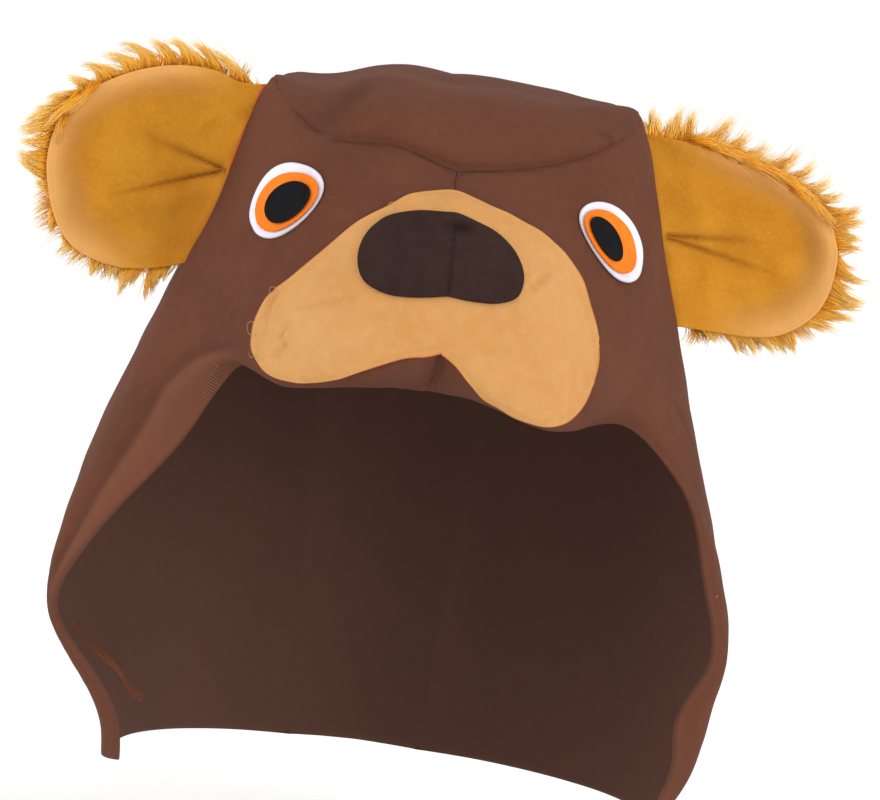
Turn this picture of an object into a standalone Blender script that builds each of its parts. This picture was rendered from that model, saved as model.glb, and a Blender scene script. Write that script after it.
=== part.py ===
"""Bear face costume hood, in metres, +Z up, with the face towards -Y.

The origin is the inner top of the hood, where it sits on the head. +X is the
wearer's left. Two side panels meet in a seam down the middle of the brow and
snout, and a crown panel closes the top and the back between them.
"""

import math
import random
from collections import namedtuple

import bmesh
import bpy
import numpy as np

# Overall sizes of the hood
HALF_WIDTH = 0.146
DEPTH = 0.260
HEIGHT = 0.310

# Cloth
WALL = 0.0020
HEM_WALL = 0.0029
HEM_WIDTH = 0.012
SEAM_GAP = 0.0003
PATCH_WALL = 0.0010
PATCH_GAP = 0.0007

# Ears
EAR_LENGTH = 0.078
EAR_HEIGHT = 0.084
EAR_WALL = 0.0020
EAR_DROP = 0.0515
EAR_BACK = -0.015
EAR_SWEEP = 0.006
EAR_CUP = 0.006
EAR_CLEARANCE = 0.0006
PILE_DEPTH = 0.009
PILE_RIM = 0.002
LOCK_LENGTH = 0.012
LOCK_COUNT = 26
FUR_SEED = 7

# Number of mesh steps
BROW_STEPS = 13
SIDE_STEPS = 13
ACROSS_STEPS = 17

Section = namedtuple("Section", "name along edge fold low mid high seam")
Fold = namedtuple("Fold", "name side along across reach_along reach_across out back up")
Rise = namedtuple("Rise", "place back up")
CrownFold = namedtuple("CrownFold", "name across place reach_across reach_place up")
Outline = namedtuple("Outline", "left_along left_across right_along right_across")
Eye = namedtuple("Eye", "name along across half_along half_across lean")
Layer = namedtuple("Layer", "name size inward down")
EarEdge = namedtuple("EarEdge", "out up")
Pleat = namedtuple("Pleat", "start_up end_out end_up depth width")

# Where the six guides of a section lie between the front edge and the crown seam
GUIDE_PLACES = (0.0, 0.16, 0.34, 0.58, 0.80, 1.0)

# The place along the front edge where the crown seam turns its corner
CORNER = 0.54

# Sections of one side panel, from the middle of the brow round to the neck.
# Each guide is out, back and up, as shares of HALF_WIDTH, DEPTH and HEIGHT.
SECTIONS = (
    Section("brow_centre", 0.00,
            (0.000, -0.385, -0.384), (0.000, -0.565, -0.332), (0.000, -0.565, -0.258),
            (0.000, -0.488, -0.145), (0.000, -0.431, -0.113), (0.000, -0.373, -0.087)),
    Section("jowl", 0.16,
            (0.205, -0.381, -0.387), (0.226, -0.565, -0.371), (0.253, -0.542, -0.277),
            (0.260, -0.458, -0.161), (0.247, -0.408, -0.110), (0.226, -0.362, -0.074)),
    Section("brow_end", 0.30,
            (0.384, -0.354, -0.400), (0.425, -0.465, -0.387), (0.473, -0.431, -0.290),
            (0.459, -0.381, -0.168), (0.411, -0.354, -0.090), (0.370, -0.331, -0.058)),
    Section("temple", 0.42,
            (0.534, -0.292, -0.400), (0.589, -0.323, -0.368), (0.616, -0.292, -0.284),
            (0.589, -0.269, -0.161), (0.527, -0.262, -0.065), (0.466, -0.277, -0.039)),
    Section("upper_cheek", 0.54,
            (0.671, -0.231, -0.474), (0.740, -0.208, -0.432), (0.733, -0.146, -0.306),
            (0.651, -0.131, -0.168), (0.589, -0.138, -0.058), (0.527, -0.185, -0.010)),
    Section("cheek", 0.67,
            (0.836, -0.212, -0.600), (0.911, -0.169, -0.574), (0.849, -0.038, -0.445),
            (0.705, 0.058, -0.242), (0.589, 0.038, -0.071), (0.527, -0.015, 0.000)),
    Section("jaw", 0.80,
            (0.932, -0.223, -0.729), (0.993, -0.162, -0.716), (0.938, 0.038, -0.613),
            (0.753, 0.231, -0.387), (0.582, 0.262, -0.171), (0.438, 0.231, -0.032)),
    Section("collar", 0.90,
            (0.884, -0.254, -0.832), (0.945, -0.173, -0.832), (0.884, 0.077, -0.761),
            (0.699, 0.308, -0.581), (0.466, 0.408, -0.400), (0.295, 0.412, -0.216)),
    Section("neck_edge", 1.00,
            (0.795, -0.292, -0.942), (0.836, -0.192, -0.952), (0.781, 0.038, -0.961),
            (0.630, 0.231, -0.968), (0.411, 0.323, -0.968), (0.205, 0.358, -0.968)),
)

# Folds and dents. Side 1 is the wearer's left, -1 the right and 0 both.
FOLDS = (
    Fold("right_neck_tuck", -1, 0.93, 0.10, 0.10, 0.50, -0.062, 0.000, 0.000),
    Fold("right_crown_dent", -1, 0.50, 0.60, 0.20, 0.30, -0.031, 0.000, 0.000),
    Fold("right_edge_flare", -1, 0.83, 0.00, 0.07, 0.12, 0.055, -0.019, 0.000),
    Fold("right_neck_dip", -1, 0.96, 0.20, 0.06, 0.40, -0.034, 0.000, 0.000),
    Fold("right_jowl_lift", -1, 0.20, 0.12, 0.10, 0.10, 0.000, 0.000, 0.006),
    Fold("right_temple_peak", -1, 0.42, 0.00, 0.040, 0.10, 0.000, 0.000, 0.014),
    Fold("right_edge_fall", -1, 0.58, 0.00, 0.105, 0.12, -0.034, 0.000, -0.015),
    Fold("right_seam_rise", -1, 0.12, 1.00, 0.085, 0.22, 0.000, 0.017, 0.0135),
    Fold("right_seam_sag", -1, 0.33, 1.00, 0.09, 0.22, 0.000, -0.0126, -0.010),
    Fold("right_crown_corner", -1, 0.72, 1.00, 0.10, 0.20, 0.000, 0.000, -0.0135),
    Fold("left_neck_swell", 1, 0.93, 0.20, 0.10, 0.50, 0.027, 0.000, 0.000),
    Fold("left_temple_arch", 1, 0.50, 0.00, 0.11, 0.12, 0.048, 0.015, 0.003),
    Fold("left_brow_sag", 1, 0.36, 0.00, 0.07, 0.10, 0.000, 0.000, -0.013),
    Fold("left_jowl_sag", 1, 0.20, 0.12, 0.10, 0.10, 0.027, 0.000, -0.016),
    Fold("left_edge_swell", 1, 0.69, 0.00, 0.13, 0.12, 0.034, 0.000, 0.003),
    Fold("left_temple_flare", 1, 0.58, 0.00, 0.075, 0.12, 0.050, 0.000, 0.000),
    Fold("left_jaw_turn", 1, 0.865, 0.00, 0.055, 0.12, -0.058, 0.000, 0.000),
    Fold("left_seam_rise", 1, 0.42, 1.00, 0.26, 0.22, 0.000, 0.006, 0.016),
)

# Rise of the crown panel's middle over a panel drawn straight across,
# from the front seam to the neck, as shares of DEPTH and HEIGHT
CROWN_RISES = (
    Rise(0.000, 0.000, 0.000),
    Rise(0.070, -0.027, 0.034),
    Rise(0.150, -0.019, 0.061),
    Rise(0.283, 0.019, 0.067),
    Rise(0.420, 0.035, 0.064),
    Rise(0.565, 0.073, 0.053),
    Rise(0.783, 0.065, 0.010),
    Rise(0.890, 0.058, 0.000),
    Rise(1.000, 0.027, 0.000),
)
CROWN_FULLNESS = 1.8

# Soft swells of the crown panel
CROWN_FOLDS = (
    CrownFold("right_puff", -0.50, 0.44, 0.22, 0.30, 0.0095),
    CrownFold("middle_puff", 0.05, 0.45, 0.25, 0.30, 0.0108),
)

# Outline of the muzzle patch on the two side panels, from top to notch
MUZZLE_TOP = 0.787
MUZZLE_NOTCH = 0.205
MUZZLE_MIDDLE = 0.400
MUZZLE = (
    Outline(0.070, 0.715, 0.043, 0.723),
    Outline(0.113, 0.628, 0.092, 0.665),
    Outline(0.168, 0.555, 0.152, 0.608),
    Outline(0.212, 0.487, 0.203, 0.547),
    Outline(0.258, 0.422, 0.238, 0.482),
    Outline(0.297, 0.370, 0.256, 0.425),
    Outline(0.325, 0.318, 0.276, 0.365),
    Outline(0.343, 0.260, 0.290, 0.315),
    Outline(0.345, 0.205, 0.292, 0.263),
    Outline(0.323, 0.173, 0.285, 0.215),
    Outline(0.288, 0.166, 0.260, 0.182),
    Outline(0.238, 0.166, 0.225, 0.162),
    Outline(0.190, 0.178, 0.177, 0.150),
    Outline(0.147, 0.197, 0.130, 0.148),
    Outline(0.107, 0.210, 0.095, 0.150),
    Outline(0.065, 0.216, 0.065, 0.172),
    Outline(0.025, 0.207, 0.030, 0.197),
)

# Outline of the nose patch, from top to flat bottom
NOSE_TOP = 0.592
NOSE_BOTTOM = 0.370
NOSE_MIDDLE = 0.480
NOSE = (
    Outline(0.040, 0.600, 0.035, 0.580),
    Outline(0.072, 0.596, 0.062, 0.566),
    Outline(0.103, 0.584, 0.085, 0.544),
    Outline(0.130, 0.550, 0.108, 0.512),
    Outline(0.148, 0.508, 0.121, 0.480),
    Outline(0.154, 0.455, 0.125, 0.446),
    Outline(0.140, 0.405, 0.116, 0.408),
    Outline(0.105, 0.378, 0.092, 0.388),
    Outline(0.052, 0.368, 0.045, 0.374),
)

# Eyes, each of three ovals, placed on the panels like the patches
EYES = {
    "left": Eye("left", 0.310, 0.620, 0.068, 0.126, 0.036),
    "right": Eye("right", 0.327, 0.614, 0.084, 0.128, 0.010),
}
EYE_LAYERS = (
    Layer("white", 1.00, 0.000, 0.000),
    Layer("iris", 0.79, 0.010, 0.012),
    Layer("pupil", 0.60, 0.026, 0.028),
)

# Outline of an ear from the top of its base round its tip to the bottom of
# its base, as shares of EAR_LENGTH and EAR_HEIGHT
EAR_EDGE = (
    EarEdge(0.13, 0.05), EarEdge(0.29, 0.06), EarEdge(0.45, 0.03), EarEdge(0.61, -0.03),
    EarEdge(0.75, -0.11), EarEdge(0.87, -0.21), EarEdge(0.95, -0.32), EarEdge(0.99, -0.43),
    EarEdge(0.98, -0.54), EarEdge(0.93, -0.66), EarEdge(0.84, -0.77), EarEdge(0.73, -0.86),
    EarEdge(0.59, -0.93), EarEdge(0.42, -0.97), EarEdge(0.23, -0.98),
)
EAR_TOP_TRIM = {"left": 0.07, "right": 0.0}
EAR_BASE_TOP = 0.01
EAR_BASE_BOTTOM = -0.94
EAR_MIDDLE = EarEdge(0.45, -0.47)
PLEATS = (
    Pleat(-0.40, 0.50, -0.27, 0.0030, 0.0035),
    Pleat(-0.56, 0.62, -0.52, 0.0035, 0.0040),
)

# Colour, roughness
FINISHES = {
    "brown_fleece": ((0.181, 0.071, 0.041), 0.95),
    "tan_fleece": ((0.730, 0.376, 0.127), 0.95),
    "nose_fleece": ((0.042, 0.023, 0.021), 0.95),
    "eye_white": ((0.753, 0.723, 0.791), 0.80),
    "eye_orange": ((0.871, 0.223, 0.021), 0.80),
    "eye_black": ((0.007, 0.007, 0.008), 0.80),
    "gold_velour": ((0.610, 0.283, 0.032), 0.90),
    "gold_fur": ((0.650, 0.300, 0.060), 0.90),
}


def cubic(values, stations, places):
    """Smooth curve through values at rising stations, read at places."""
    spread = (-1,) + (1,) * (values.ndim - 1)
    steps = np.diff(stations)
    slopes = np.diff(values, axis=0) / steps.reshape(spread)
    tangents = np.empty_like(values)
    before = steps[1:].reshape(spread)
    after = steps[:-1].reshape(spread)
    tangents[1:-1] = (slopes[:-1] * before + slopes[1:] * after) / (before + after)
    tangents[0] = 1.5 * slopes[0] - 0.5 * tangents[1]
    tangents[-1] = 1.5 * slopes[-1] - 0.5 * tangents[-2]
    cell = np.clip(np.searchsorted(stations, places, side="right") - 1, 0, len(steps) - 1)
    width = steps[cell].reshape(spread)
    part = ((places - stations[cell]) / steps[cell]).reshape(spread)
    return ((2 * part**3 - 3 * part**2 + 1) * values[cell]
            + (part**3 - 2 * part**2 + part) * width * tangents[cell]
            + (3 * part**2 - 2 * part**3) * values[cell + 1]
            + (part**3 - part**2) * width * tangents[cell + 1])


def weights(stations, places):
    """How much each station counts at each place."""
    stations = np.asarray(stations, float)
    return cubic(np.eye(len(stations)), stations, np.asarray(places, float))


SECTION_PLACES = [section.along for section in SECTIONS]
GUIDES = np.array([section[2:] for section in SECTIONS]) * (HALF_WIDTH, DEPTH, HEIGHT)


def panel_point(side, along, across):
    """Points on the outer face of a side panel, before the seat is brought to the origin."""
    along = np.asarray(along, float)
    across = np.asarray(across, float)
    side = np.broadcast_to(side, along.shape)
    point = np.einsum("pi,pj,ijk->pk", weights(SECTION_PLACES, along),
                      weights(GUIDE_PLACES, across), GUIDES)
    off_seam = np.clip(along / 0.12, 0.0, 1.0)
    for fold in FOLDS:
        reach = ((along - fold.along) / fold.reach_along) ** 2
        reach = reach + ((across - fold.across) / fold.reach_across) ** 2
        weight = np.exp(-reach) * ((side == fold.side) | (fold.side == 0))
        point[:, 0] += weight * off_seam * fold.out * HALF_WIDTH
        point[:, 1] += weight * fold.back * DEPTH
        point[:, 2] += weight * fold.up * HEIGHT
    point[:, 0] = np.where(along <= 0.0, 0.0, point[:, 0]) * side
    return point


def unit(vectors):
    """Vectors brought to length one."""
    return vectors / np.maximum(np.linalg.norm(vectors, axis=-1, keepdims=True), 1e-12)


def panel_normal(side, along, across):
    """Outward directions of a side panel's outer face."""
    step = 0.002
    along = np.asarray(along, float)
    across = np.asarray(across, float)
    inside = np.maximum(along, step)
    run_along = panel_point(side, inside + step, across) - panel_point(side, inside - step, across)
    run_across = panel_point(side, inside, across + step) - panel_point(side, inside, across - step)
    normal = np.cross(run_along, run_across) * np.broadcast_to(side, along.shape)[:, None]
    normal[:, 0] = np.where(along <= 0.0, 0.0, normal[:, 0])
    return unit(normal)


def crown_point(across, place):
    """Points on the crown panel: across from -1 to 1, place 0 at the front seam to 1 at the neck."""
    across = np.asarray(across, float)
    place = np.asarray(place, float)
    ones = np.ones_like(across)
    side = np.where(across < 0.0, -1.0, 1.0)
    front = panel_point(side, np.abs(across) * CORNER, ones)
    along = CORNER + (1.0 - CORNER) * place
    right = panel_point(-ones, along, ones)
    left = panel_point(ones, along, ones)
    front_right, front_left = panel_point([-1.0, 1.0], [CORNER, CORNER], [1.0, 1.0])
    neck_right, neck_left = panel_point([-1.0, 1.0], [1.0, 1.0], [1.0, 1.0])
    share = ((across + 1.0) / 2.0)[:, None]
    run = place[:, None]
    neck = (1 - share) * neck_right + share * neck_left
    point = (1 - run) * front + run * neck + (1 - share) * right + share * left
    point -= (1 - run) * ((1 - share) * front_right + share * front_left) + run * neck
    rises = np.array([(0.0, rise.back * DEPTH, rise.up * HEIGHT) for rise in CROWN_RISES])
    rise = weights([rise.place for rise in CROWN_RISES], place) @ rises
    for fold in CROWN_FOLDS:
        reach = ((across - fold.across) / fold.reach_across) ** 2
        reach = reach + ((place - fold.place) / fold.reach_place) ** 2
        rise[:, 2] += np.exp(-reach) * fold.up * HEIGHT
    return point + rise * (1.0 - np.abs(across) ** CROWN_FULLNESS)[:, None]


def crown_normal(across, place):
    """Outward directions of the crown panel."""
    step = 0.002
    across = np.clip(np.asarray(across, float), -1.0 + step, 1.0 - step)
    place = np.clip(np.asarray(place, float), step, 1.0 - step)
    run_across = crown_point(across + step, place) - crown_point(across - step, place)
    run_back = crown_point(across, place + step) - crown_point(across, place - step)
    return unit(np.cross(run_across, run_back))


def seat_height():
    """Height of the crown's inner face above the middle of the head, which becomes z = 0."""
    line = crown_point(np.zeros(201), np.linspace(0.0, 1.0, 201))
    top = line[: np.argmax(line[:, 1]) + 1]
    return float(np.interp(0.0, top[:, 1], top[:, 2])) - WALL


SEAT = np.array((0.0, 0.0, seat_height()))


def seam_place(side, along):
    """The crown panel's coordinates beside a place on a side panel's crown seam."""
    across = side * np.minimum(along / CORNER, 1.0)
    place = np.clip((along - CORNER) / (1.0 - CORNER), 0.0, 1.0)
    return across, place


def mitre(own, other, wall):
    """Inward step that splits the joint of two walls evenly."""
    middle = unit(own + other)
    lean = np.clip(np.sum(middle * own, axis=-1, keepdims=True), 0.5, 1.0)
    return -middle * wall / lean


def cloth_body(name, outer, inner, finish, collection):
    """Closed wall between two grids of points that run the same way."""
    rows, columns = outer.shape[:2]
    mesh_builder = bmesh.new()
    grids = []
    for grid in (outer, inner):
        grids.append([[mesh_builder.verts.new(point) for point in row] for row in grid])
    top, base = grids
    for i in range(rows - 1):
        for j in range(columns - 1):
            mesh_builder.faces.new((top[i][j], top[i + 1][j], top[i + 1][j + 1], top[i][j + 1]))
            mesh_builder.faces.new((base[i][j], base[i][j + 1], base[i + 1][j + 1], base[i + 1][j]))
    border = [(i, 0) for i in range(rows)]
    border += [(rows - 1, j) for j in range(1, columns)]
    border += [(i, columns - 1) for i in range(rows - 2, -1, -1)]
    border += [(0, j) for j in range(columns - 2, 0, -1)]
    for (i, j), (k, m) in zip(border, border[1:] + border[:1]):
        mesh_builder.faces.new((top[i][j], base[i][j], base[k][m], top[k][m]))
    bmesh.ops.recalc_face_normals(mesh_builder, faces=mesh_builder.faces)
    return add_object(name, mesh_builder, finish, collection)


def add_object(name, mesh_builder, finish, collection):
    """Object from a bmesh, smooth but for its sharp edges, with its material."""
    mesh = bpy.data.meshes.new(name)
    mesh_builder.to_mesh(mesh)
    mesh_builder.free()
    mesh.shade_smooth()
    mesh.set_sharp_from_angle(angle=math.radians(50.0))
    mesh.materials.append(material(finish))
    result = bpy.data.objects.new(name, mesh)
    collection.objects.link(result)
    return result


def material(finish):
    """The finish's material, made once."""
    existing = bpy.data.materials.get(finish)
    if existing:
        return existing
    colour, roughness = FINISHES[finish]
    result = bpy.data.materials.new(finish)
    result.use_nodes = True
    shader = result.node_tree.nodes["Principled BSDF"]
    shader.inputs["Base Color"].default_value = (*colour, 1.0)
    shader.inputs["Roughness"].default_value = roughness
    result.diffuse_color = (*colour, 1.0)
    return result


def along_steps():
    """Stations along the front edge, with one on the crown panel's corner."""
    brow = np.linspace(0.0, CORNER, BROW_STEPS + 1)
    side = np.linspace(CORNER, 1.0, SIDE_STEPS + 1)
    return np.concatenate((brow, side[1:]))


def across_steps():
    """Stations from the front edge to the crown seam, closer near the edge."""
    return np.linspace(0.0, 1.0, ACROSS_STEPS + 1) ** 1.15


def hem_wall(points):
    """Wall at each point of a grid, thicker on the turned hem along its first column."""
    runs = np.linalg.norm(np.diff(points, axis=1), axis=2)
    reach = np.concatenate((np.zeros((len(points), 1)), np.cumsum(runs, axis=1)), axis=1)
    ease = np.clip((reach - HEM_WIDTH) / (0.25 * HEM_WIDTH), 0.0, 1.0)
    return HEM_WALL + (WALL - HEM_WALL) * ease


def build_side_panel(side, collection):
    """One brown half of the hood, from the middle seam round to the neck."""
    rows = along_steps()
    columns = across_steps()
    along, across = [grid.ravel() for grid in np.meshgrid(rows, columns, indexing="ij")]
    shape = (len(rows), len(columns), 3)
    outer = (panel_point(side, along, across) - SEAT).reshape(shape)
    normal = panel_normal(side, along, across).reshape(shape)
    wall = hem_wall(outer)[..., None]
    step = -normal * wall
    flat = np.clip(np.abs(panel_normal(side, np.full(len(columns), 0.004), columns)), 0.0, 1.0)
    lean = np.sqrt(np.maximum(1.0 - flat[:, 0] ** 2, 0.25))
    step[0] = -normal[0] * wall[0] / lean[:, None]
    crown_across, crown_place = seam_place(side, rows)
    beside = crown_normal(crown_across, crown_place)
    step[:, -1] = mitre(normal[:, -1], beside, WALL)
    inner = outer + step
    pull = unit(outer[:, -2] - outer[:, -1]) * SEAM_GAP * 0.75
    outer[:, -1] += pull
    inner[:, -1] += pull
    for grid in (outer, inner):
        grid[..., 0] = side * np.maximum(side * grid[..., 0], SEAM_GAP / 2)
    if side < 0:
        outer = outer[::-1]
        inner = inner[::-1]
    name = "side_panel_left" if side > 0 else "side_panel_right"
    return cloth_body(name, outer, inner, "brown_fleece", collection)


def build_crown_panel(collection):
    """The gusset over the top and down the back, whose edges meet the side panels' seams."""
    brow = np.linspace(0.0, 1.0, BROW_STEPS + 1)
    columns = np.concatenate((-brow[::-1], brow[1:]))
    rows = np.linspace(0.0, 1.0, SIDE_STEPS + 1)
    place, across = [grid.ravel() for grid in np.meshgrid(rows, columns, indexing="ij")]
    shape = (len(rows), len(columns), 3)
    outer = (crown_point(across, place) - SEAT).reshape(shape)
    normal = crown_normal(across, place).reshape(shape)
    step = -normal * WALL
    front = panel_normal(np.where(columns < 0, -1.0, 1.0), np.abs(columns) * CORNER,
                         np.ones(len(columns)))
    step[0] = mitre(normal[0], front, WALL)
    along = CORNER + (1.0 - CORNER) * rows
    for column, side in ((0, -1.0), (-1, 1.0)):
        beside = panel_normal(np.full(len(rows), side), along, np.ones(len(rows)))
        step[:, column] = mitre(normal[:, column], beside, WALL)
    inner = outer + step
    back = unit(outer[1] - outer[0]) * SEAM_GAP * 0.75
    from_right = unit(outer[:, 1] - outer[:, 0]) * SEAM_GAP * 0.75
    from_left = unit(outer[:, -2] - outer[:, -1]) * SEAM_GAP * 0.75
    for grid in (outer, inner):
        grid[0] += back
        grid[:, 0] += from_right
        grid[:, -1] += from_left
    return cloth_body("crown_panel", outer, inner, "brown_fleece", collection)


def ring_disc(rings, middle):
    """Open surface of closed rings of points around a middle point."""
    mesh_builder = bmesh.new()
    loops = [[mesh_builder.verts.new(point) for point in ring] for ring in rings]
    hub = mesh_builder.verts.new(middle)
    count = len(loops[0])
    for k in range(count):
        mesh_builder.faces.new((hub, loops[0][k], loops[0][(k + 1) % count]))
    for near, far in zip(loops[:-1], loops[1:]):
        for k in range(count):
            after = (k + 1) % count
            mesh_builder.faces.new((near[k], far[k], far[after], near[after]))
    return mesh_builder


def add_wall(target, thickness):
    """Give an open surface its cloth, on the side that it faces."""
    solid = target.modifiers.new("Cloth", "SOLIDIFY")
    solid.thickness = thickness
    solid.offset = 1.0
    solid.use_even_offset = False
    return target


def build_patch(name, outline, middle, ring_count, lift, finish, collection):
    """Cloth patch on the side panels; outline and middle are signed along, across."""
    outline = np.array(outline)
    middle = np.array(middle)
    rings = []
    for step in range(1, ring_count + 1):
        share = 1.0 - (1.0 - step / ring_count) ** 1.4
        rings.append(on_panels(middle + (outline - middle) * share, lift))
    mesh_builder = ring_disc(rings, on_panels(middle[None, :], lift)[0])
    face_out(mesh_builder)
    return add_wall(add_object(name, mesh_builder, finish, collection), PATCH_WALL)


def on_panels(places, lift):
    """Points at a lift over the side panels; a negative along is on the wearer's right."""
    side = np.where(places[:, 0] < 0.0, -1.0, 1.0)
    along = np.abs(places[:, 0])
    normal = panel_normal(side, along, places[:, 1])
    return panel_point(side, along, places[:, 1]) - SEAT + normal * lift


def face_out(mesh_builder):
    """Turn an open front-facing surface so that its faces look towards -Y."""
    mesh_builder.normal_update()
    if sum(face.normal.y * face.calc_area() for face in mesh_builder.faces) > 0.0:
        bmesh.ops.reverse_faces(mesh_builder, faces=mesh_builder.faces)


def patch_outline(rows, top, bottom):
    """Signed outline from the top down the wearer's left, then back up the right."""
    left = [(row.right_along, row.right_across) for row in rows]
    right = [(-row.left_along, row.left_across) for row in reversed(rows)]
    return [(0.0, top)] + left + [(0.0, bottom)] + right


def build_face(collection):
    """Muzzle, nose and eyes, each a patch a small gap over what is under it."""
    first = PATCH_GAP
    second = first + PATCH_WALL + PATCH_GAP
    third = second + PATCH_WALL + PATCH_GAP
    build_patch("muzzle_patch", patch_outline(MUZZLE, MUZZLE_TOP, MUZZLE_NOTCH),
                (0.0, MUZZLE_MIDDLE), 8, first, "tan_fleece", collection)
    build_patch("nose_patch", patch_outline(NOSE, NOSE_TOP, NOSE_BOTTOM),
                (-0.012, NOSE_MIDDLE), 4, second, "nose_fleece", collection)
    finishes = ("eye_white", "eye_orange", "eye_black")
    for side_name, eye in EYES.items():
        side = 1.0 if side_name == "left" else -1.0
        for layer, lift, finish in zip(EYE_LAYERS, (first, second, third), finishes):
            outline = []
            for turn in np.linspace(0.0, 2.0 * math.pi, 18, endpoint=False):
                across = math.sin(turn) * layer.size
                along = math.cos(turn) * layer.size * eye.half_along - across * eye.lean
                outline.append((side * (eye.along - layer.inward + along),
                                eye.across - layer.down + across * eye.half_across))
            middle = (side * (eye.along - layer.inward), eye.across - layer.down)
            build_patch(f"eye_{layer.name}_{side_name}", outline, middle, 2, lift, finish,
                        collection)


def hood_side(side, back, up):
    """Distance out of a side panel's outer face at given places back and up."""
    along = np.full(back.shape, 0.59)
    across = np.full(back.shape, 0.60)
    step = 0.002
    for _ in range(12):
        here = panel_point(side, along, across) - SEAT
        by_along = (panel_point(side, along + step, across) - SEAT - here) / step
        by_across = (panel_point(side, along, across + step) - SEAT - here) / step
        miss_back = back - here[:, 1]
        miss_up = up - here[:, 2]
        scale = by_along[:, 1] * by_across[:, 2] - by_along[:, 2] * by_across[:, 1]
        along = along + (miss_back * by_across[:, 2] - miss_up * by_across[:, 1]) / scale
        across = across + (miss_up * by_along[:, 1] - miss_back * by_along[:, 2]) / scale
        along = np.clip(along, 0.40, 0.85)
        across = np.clip(across, 0.05, 0.99)
    return np.abs((panel_point(side, along, across) - SEAT)[:, 0])


def pleat_depth(out, up):
    """How far the pleats dent an ear, from its base outwards."""
    dent = np.zeros_like(out)
    for pleat in PLEATS:
        run = np.array((pleat.end_out * EAR_LENGTH, (pleat.end_up - pleat.start_up) * EAR_HEIGHT))
        length = np.linalg.norm(run)
        run = run / length
        offset = np.stack((out * EAR_LENGTH, (up - pleat.start_up) * EAR_HEIGHT), axis=-1)
        travel = np.clip(offset @ run / length, 0.0, 1.0)
        aside = np.abs(offset[:, 0] * run[1] - offset[:, 1] * run[0])
        dent += pleat.depth * np.exp(-((aside / pleat.width) ** 2)) * (1.0 - travel)
    return dent


def on_ear(side, places, depth):
    """Points on an ear, from out and up shares, at a depth behind its front face."""
    out = places[:, 0]
    up = places[:, 1]
    height = -EAR_DROP + (up - EAR_MIDDLE.up) * EAR_HEIGHT
    spread = ((out - EAR_MIDDLE.out) ** 2 + (up - EAR_MIDDLE.up) ** 2) / 0.25
    back = EAR_BACK + EAR_SWEEP * out - EAR_CUP * (spread - 0.5) + pleat_depth(out, up) + depth
    base = hood_side(side, back, height) + EAR_CLEARANCE
    return np.stack((side * (base + np.maximum(out, 0.0) * EAR_LENGTH), back, height), axis=-1)


def smooth_edge(side, count):
    """The free edge of an ear read at even places, with the direction out of it."""
    trim = EAR_TOP_TRIM["left" if side > 0 else "right"]
    rows = [(0.0, EAR_BASE_TOP)]
    for row in EAR_EDGE:
        lowered = 4.0 * trim * row.out * (1.0 - row.out) if row.up > EAR_MIDDLE.up else 0.0
        rows.append((row.out, row.up - lowered))
    rows = np.array(rows + [(0.0, EAR_BASE_BOTTOM)]) * (EAR_LENGTH, EAR_HEIGHT)
    runs = np.concatenate(([0.0], np.cumsum(np.linalg.norm(np.diff(rows, axis=0), axis=1))))
    places = np.linspace(0.0, runs[-1], count)
    points = cubic(rows, runs, places)
    ahead = cubic(rows, runs, np.minimum(places + 0.001, runs[-1]))
    behind = cubic(rows, runs, np.maximum(places - 0.001, 0.0))
    run = unit(ahead - behind)
    outward = np.stack((-run[:, 1], run[:, 0]), axis=-1)
    return points, outward


def ear_base():
    """Places along the base of an ear, from its bottom to its top."""
    return np.array([(0.0, up) for up in np.linspace(EAR_BASE_BOTTOM, EAR_BASE_TOP, 9)[1:-1]])


def ear_face(side, depth):
    """Rings over an ear from its middle to its edge, at a depth, and the middle point."""
    points, outward = smooth_edge(side, 2 * LOCK_COUNT + 1)
    outline = np.concatenate((points / (EAR_LENGTH, EAR_HEIGHT), ear_base()))
    middle = np.array(EAR_MIDDLE)
    rings = [on_ear(side, middle + (outline - middle) * share, depth)
             for share in (0.28, 0.56, 0.80, 1.0)]
    return rings, on_ear(side, middle[None, :], depth)[0]


def build_ear_front(side, collection):
    """Short-pile front of an ear, pleated at its base."""
    rings, middle = ear_face(side, EAR_WALL)
    mesh_builder = ring_disc(rings, middle)
    face_out(mesh_builder)
    name = "ear_front_left" if side > 0 else "ear_front_right"
    return add_wall(add_object(name, mesh_builder, "gold_velour", collection), EAR_WALL)


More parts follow.
